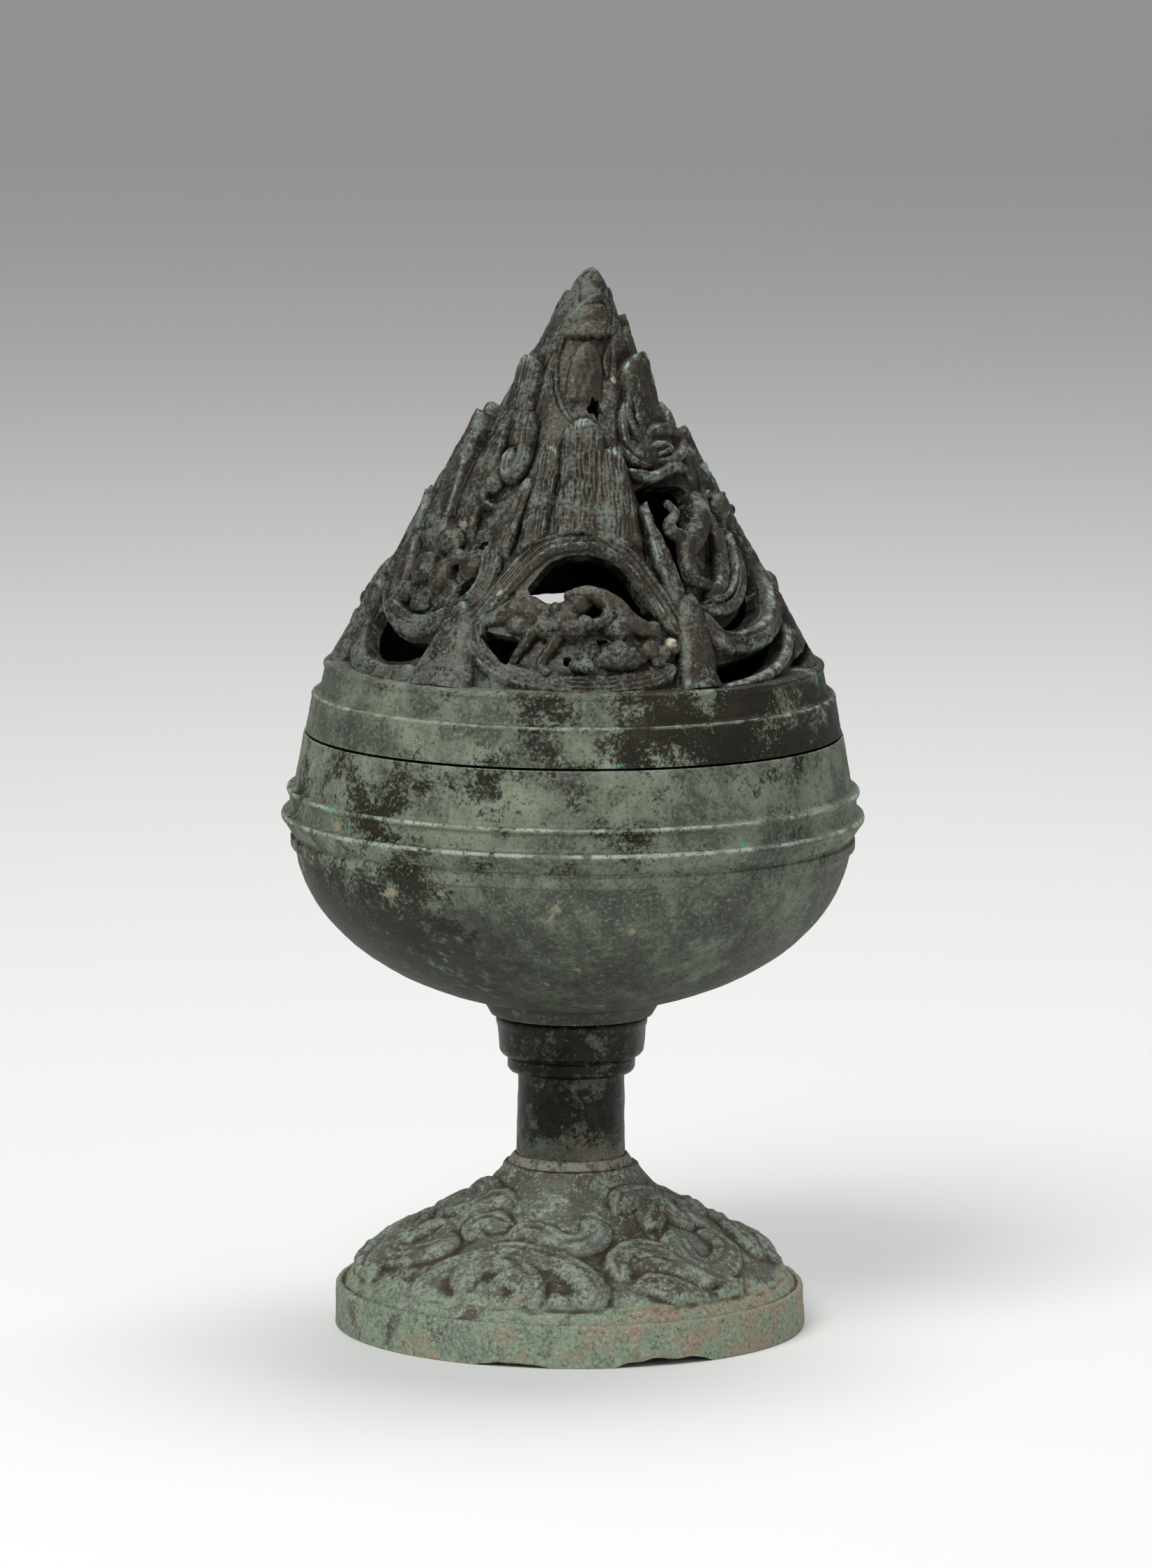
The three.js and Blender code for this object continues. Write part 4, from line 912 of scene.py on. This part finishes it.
def limbGrid(knots):
    # a round section carried along a path, its ends closing in three steps; each knot is bearing, height,
    # distance out and radius
    way = smoothPath(knots, 5)
    path = onSkin(way[:, 0], way[:, 1], way[:, 2])
    along = np.gradient(path, axis=0)
    along /= np.linalg.norm(along, axis=1, keepdims=True)
    side = np.cross(along, along[len(along) // 2][[1, 2, 0]] + 0.1)
    side /= np.linalg.norm(side, axis=1, keepdims=True)
    other = np.cross(along, side)
    radius = way[:, 3]
    ends = np.array([0.05, 0.6, 0.9])
    beyond = np.array([[1.0], [0.75], [0.4]])
    path = np.vstack([path[0] - along[0] * radius[0] * beyond, path,
                      path[-1] + along[-1] * radius[-1] * beyond[::-1]])
    radius = np.concatenate([radius[0] * ends, radius, radius[-1] * ends[::-1]])[:, None, None]
    side, other = (np.vstack([a[[0, 0, 0]], a, a[[-1, -1, -1]]])[:, None] for a in (side, other))
    turn = np.linspace(0, 2 * np.pi, 16, endpoint=False)[None, :, None]
    return path[:, None] + radius * (side * np.cos(turn) + other * np.sin(turn))


def figureVeil(points):
    # even, a little more at the left
    return 0.38 - 0.001 * points[:, 0]


def figurePiece(name, node, lumps, limbs, turn=0.0, drop=0.0):
    # lumps and limbs fused by a fine voxel remesh and eased, as the wax model was; drop sinks it in its niche
    grids = [lumpGrid(row[0] + turn, row[1], row[2] - drop, *row[3:]) for row in lumps]
    grids += [limbGrid([(row[0] + turn, row[1], row[2] - drop, row[3]) for row in knots]) for knots in limbs]
    quads, start = [], 0
    for grid in grids:
        rows, cols = grid.shape[:2]
        quads.append(ringQuads(rows, cols)[:-cols] + start)
        for row in (0, rows - 1):  # the small end rings are closed by strips between their two halves
            half = np.arange(cols // 2 - 1)
            strip = np.stack([half, half + 1, cols - 2 - half, cols - 1 - half], -1) + row * cols + start
            quads.append(strip if row else strip[:, ::-1])
        start += rows * cols
    cloud = np.vstack([grid.reshape(-1, 3) for grid in grids])
    cloud[:, 2] += lidShape["level"]
    mesh, used = quadMesh(name, cloud, np.vstack(quads))
    rough = addObject(name + "Rough", mesh)
    fuse = rough.modifiers.new("fuse", "REMESH")
    fuse.mode = "VOXEL"
    fuse.voxel_size = 0.26 * mm
    ease = rough.modifiers.new("ease", "SMOOTH")
    ease.factor = 0.5
    ease.iterations = 4
    made = bpy.data.meshes.new_from_object(rough.evaluated_get(bpy.context.evaluated_depsgraph_get()))
    bpy.data.objects.remove(rough)
    spots = vertexRows(made, "co") / mm
    uneven = 0.1 * waves(spots, 2.4, 51) + 0.04 * waves(spots, 1.0, 52)
    spots = spots + vertexRows(made, "normal") * uneven[:, None]
    made.vertices.foreach_set("co", (spots * mm).ravel())
    made.update()
    dress(made, name, "lid", [node], lidBronze, figureVeil, crease=80)


# the two beasts that fight under each arch, the ape and the bear: a lump is bearing, height, distance out,
# then half sizes, and a limb is a list of knots
tigerLumps = [(-12.8, 14.5, 2.4, 3.4, 3, 2.6), (-15.5, 12.4, 2.2, 3.2, 2.4, 2.2),
              (-8.3, 11.9, 2.8, 2.2, 2.9, 2.2), (-2.8, 13.6, 3.2, 3.4, 3.6, 2.6),
              (-1.6, 17.4, 4.6, 1.2, 1.2, 1), (-5.1, 14.8, 5.2, 1.3, 1.3, 1),
              (-0.6, 11.2, 3.6, 2.9, 2.4, 2.2), (1.2, 16, 3.4, 2.6, 2.3, 2.2)]
tigerLimbs = [[(-26.6, 12.6, 1.4, 1.2), (-22, 13.6, 2.2, 1.9), (-17.4, 14.8, 2.6, 2.7)],
              [(-11.6, 10.9, 2.7, 1.7), (-13.6, 7.8, 2.4, 1.3), (-15.9, 5.2, 1.8, 1)],
              [(-4.7, 9.5, 3, 1.6), (-6.9, 6.9, 2.6, 1.3), (-8.6, 4.7, 2.2, 1.1), (-6.9, 3.2, 2.2, 1.2)],
              [(-16.9, 15.8, 2.5, 1.5), (-13.3, 16.5, 2.7, 1.6), (-9.7, 15.3, 2.8, 1.7),
               (-6.9, 14.6, 2.9, 1.8)]]
boarLumps = [(12.5, 12, 2.4, 4, 3, 2.2), (11.9, 6.4, 1.6, 6.4, 3.4, 2.4), (14.8, 6.8, 3.8, 0.9, 0.9, 0.8),
             (21.6, 10.9, 3.4, 1.9, 1.9, 1.6), (2.9, 12.2, 4.6, 1.8, 1.6, 1.2),
             (3.3, 6.7, 3.2, 1.5, 1.5, 1.2), (5.3, 7.4, 3, 1.4, 1.4, 1.1), (0.3, 4.3, 3, 1.5, 1.5, 1.2),
             (3, 4.2, 3.2, 1.8, 1.7, 1.3), (20, 7.3, 2.8, 2.2, 2.2, 1.6), (23.3, 6.6, 2.6, 2, 1.9, 1.5),
             (26.5, 7.8, 2.4, 1.9, 2, 1.4), (21.9, 5, 2.2, 1.6, 1.5, 1.2)]
boarLimbs = [[(0.2, 18.2, 3, 1.5), (4.5, 18.2, 3.2, 1.9), (8.6, 17, 3.4, 2.2), (12.2, 15.2, 3.4, 2.3),
              (14.9, 12.9, 3.2, 2.2), (18.6, 11.3, 3.1, 1.9), (22, 10.6, 3, 1.5)],
             [(8.1, 17, 4, 1.5), (9.6, 14.8, 4.4, 1.5), (7.9, 12.6, 4.3, 1.3), (4.2, 12, 4.1, 1.2),
              (2.7, 12.3, 4.1, 1.2)]]
apeLumps = [(67.5, 33, 3.6, 3.3, 3.1, 2.8), (76, 31.6, 3.8, 1.7, 1.5, 1.5), (56, 34.4, 3, 2.8, 2.6, 2.4),
            (62, 35.6, 4.6, 1.0, 1.0, 0.9), (71, 34.6, 5.2, 1.5, 0.7, 0.8)]
apeLimbs = [[(55.5, 35, 3, 2.3), (51.8, 31.8, 3.4, 2.9), (46.9, 28.8, 3.4, 2.7), (41.6, 26.4, 3, 2.5)],
            [(39.1, 35.2, 3.2, 0.9), (40.6, 33, 3.4, 1.1), (35.6, 30.6, 3.4, 1.4), (39.2, 28.4, 3.2, 1.7)],
            [(41, 26.4, 2.8, 2.3), (39.4, 23.4, 2.6, 2.0), (39.6, 20.2, 2.4, 1.7), (44, 18.9, 2.6, 1.3)],
            [(54.8, 31, 4.2, 1.6), (54.6, 27.5, 4.4, 1.3), (54.6, 25, 4, 1.1)]]
bearLumps = [(-51.1, 27.6, 1.2, 4.2, 3.2, 2.4), (-51.1, 28, 3.4, 1.5, 1.3, 0.8),
             (-44.6, 24.6, 1.0, 2.8, 2.2, 1.8), (-37.6, 23.2, 0.7, 2.8, 3.2, 1.6),
             (-57.6, 21.6, 1.0, 4.2, 3.8, 2.6), (-47.4, 20.6, 1.2, 3.0, 4.2, 2.6),
             (-63.4, 16.2, 0.8, 3.4, 2.8, 2.2), (-52.4, 14.9, 0.8, 3.0, 2.2, 1.9),
             (-42.4, 17.6, 0.4, 2.8, 3.4, 1.6), (-54, 20, -0.6, 6.5, 7.5, 1.4)]

figurePiece("frontTiger", "front_tiger", tigerLumps, tigerLimbs, 0, 0.7)
figurePiece("frontBoar", "front_boar", boarLumps, boarLimbs, 0, 0.7)
figurePiece("sittingApe", "right_ape", apeLumps, apeLimbs)
figurePiece("leftBear", "left_bear", bearLumps, [])
figurePiece("rearRightBeasts", "rear_right_tiger", tigerLumps + boarLumps, tigerLimbs + boarLimbs, 120, 0.7)
figurePiece("rearLeftBeasts", "rear_left_boar", tigerLumps + boarLumps, tigerLimbs + boarLimbs, 240, 0.7)
figurePiece("rearBear", "rear_bear", bearLumps, [], 240)

# studio: a pale sweep of floor and backdrop, a large soft key from the left, a weak fill and an even sky; a
# lamp has its power, size and place
studio = {"floorTone": "#e8e8e6", "skyTone": "#e6e8ea", "sky": 0.37, "aim": (0, 0, 0.12),
          "lamps": [("keyLamp", 24.5, 0.9, (-0.6, -1.1, 1.5)), ("fillLamp", 3.0, 1.2, (1.3, -1.0, 0.5)),
                    ("topLamp", 13.0, 1.0, (0.2, 0.5, 1.5))]}


def makeStudio(setup):
    # the sweep's section runs level, then bends up in a quarter circle, carried sideways
    turn = np.linspace(0, np.pi / 2, 24)
    bend = np.stack([3 + 1.5 * np.sin(turn), 1.5 - 1.5 * np.cos(turn)], 1)
    section = np.vstack([[(-4.0, 0.0)], bend, [(4.5, 6.0)]])
    side = np.array([-6.0, 6.0])[None, :]
    points = np.stack(np.broadcast_arrays(side, section[:, :1], section[:, 1:]), -1).reshape(-1, 3)
    k = np.arange(len(section) - 1)
    mesh = bpy.data.meshes.new("sweep")
    mesh.from_pydata(points.tolist(), [], np.stack([2 * k, 2 * k + 1, 2 * k + 3, 2 * k + 2], 1).tolist())
    mesh.shade_smooth()
    paper = bpy.data.materials.new("palePaper")  # matt background paper, without gloss
    paper.use_nodes = True
    shader = paper.node_tree.nodes["Principled BSDF"]
    shader.inputs["Base Color"].default_value = linear(setup["floorTone"])
    shader.inputs["Roughness"].default_value = 0.9
    mesh.materials.append(paper)
    sweep = addObject("sweep", mesh)
    for name, power, size, place in setup["lamps"]:
        lamp = bpy.data.lights.new(name, "AREA")
        lamp.energy = power
        lamp.size = size
        holder = addObject(name, lamp)
        holder.location = place
        holder.rotation_euler = (Vector(setup["aim"]) - Vector(place)).to_track_quat("-Z", "Y").to_euler()
    sky = bpy.data.worlds.new("sky")
    sky.use_nodes = True
    shade = sky.node_tree.nodes["Background"]
    shade.inputs["Color"].default_value = linear(setup["skyTone"])
    shade.inputs["Strength"].default_value = setup["sky"]
    bpy.context.scene.world = sky
    bpy.context.scene.view_settings.view_transform = "Standard"


makeStudio(studio)

# camera: 2.15 m in front and a little above, turned slightly so that the axis leans right as photographed
camera = {"away": 2.150, "height": 0.44133, "pitch": 8.5515, "roll": 0.4, "aside": 0.0006, "lens": 231.54}


def makeCamera(setup):
    # tipped down from the level, then rolled about its own axis
    eye = bpy.data.cameras.new("eye")
    eye.sensor_width = 36
    eye.lens = setup["lens"]
    eye.clip_end = 50
    holder = addObject("eye", eye)
    tip = Matrix.Rotation(np.radians(90 - setup["pitch"]), 4, "X")
    roll = Matrix.Rotation(np.radians(setup["roll"]), 4, "Z")
    holder.matrix_world = Matrix.Translation((setup["aside"], -setup["away"], setup["height"])) @ (tip @ roll)
    bpy.context.scene.camera = holder


makeCamera(camera)
print("studio and camera set")
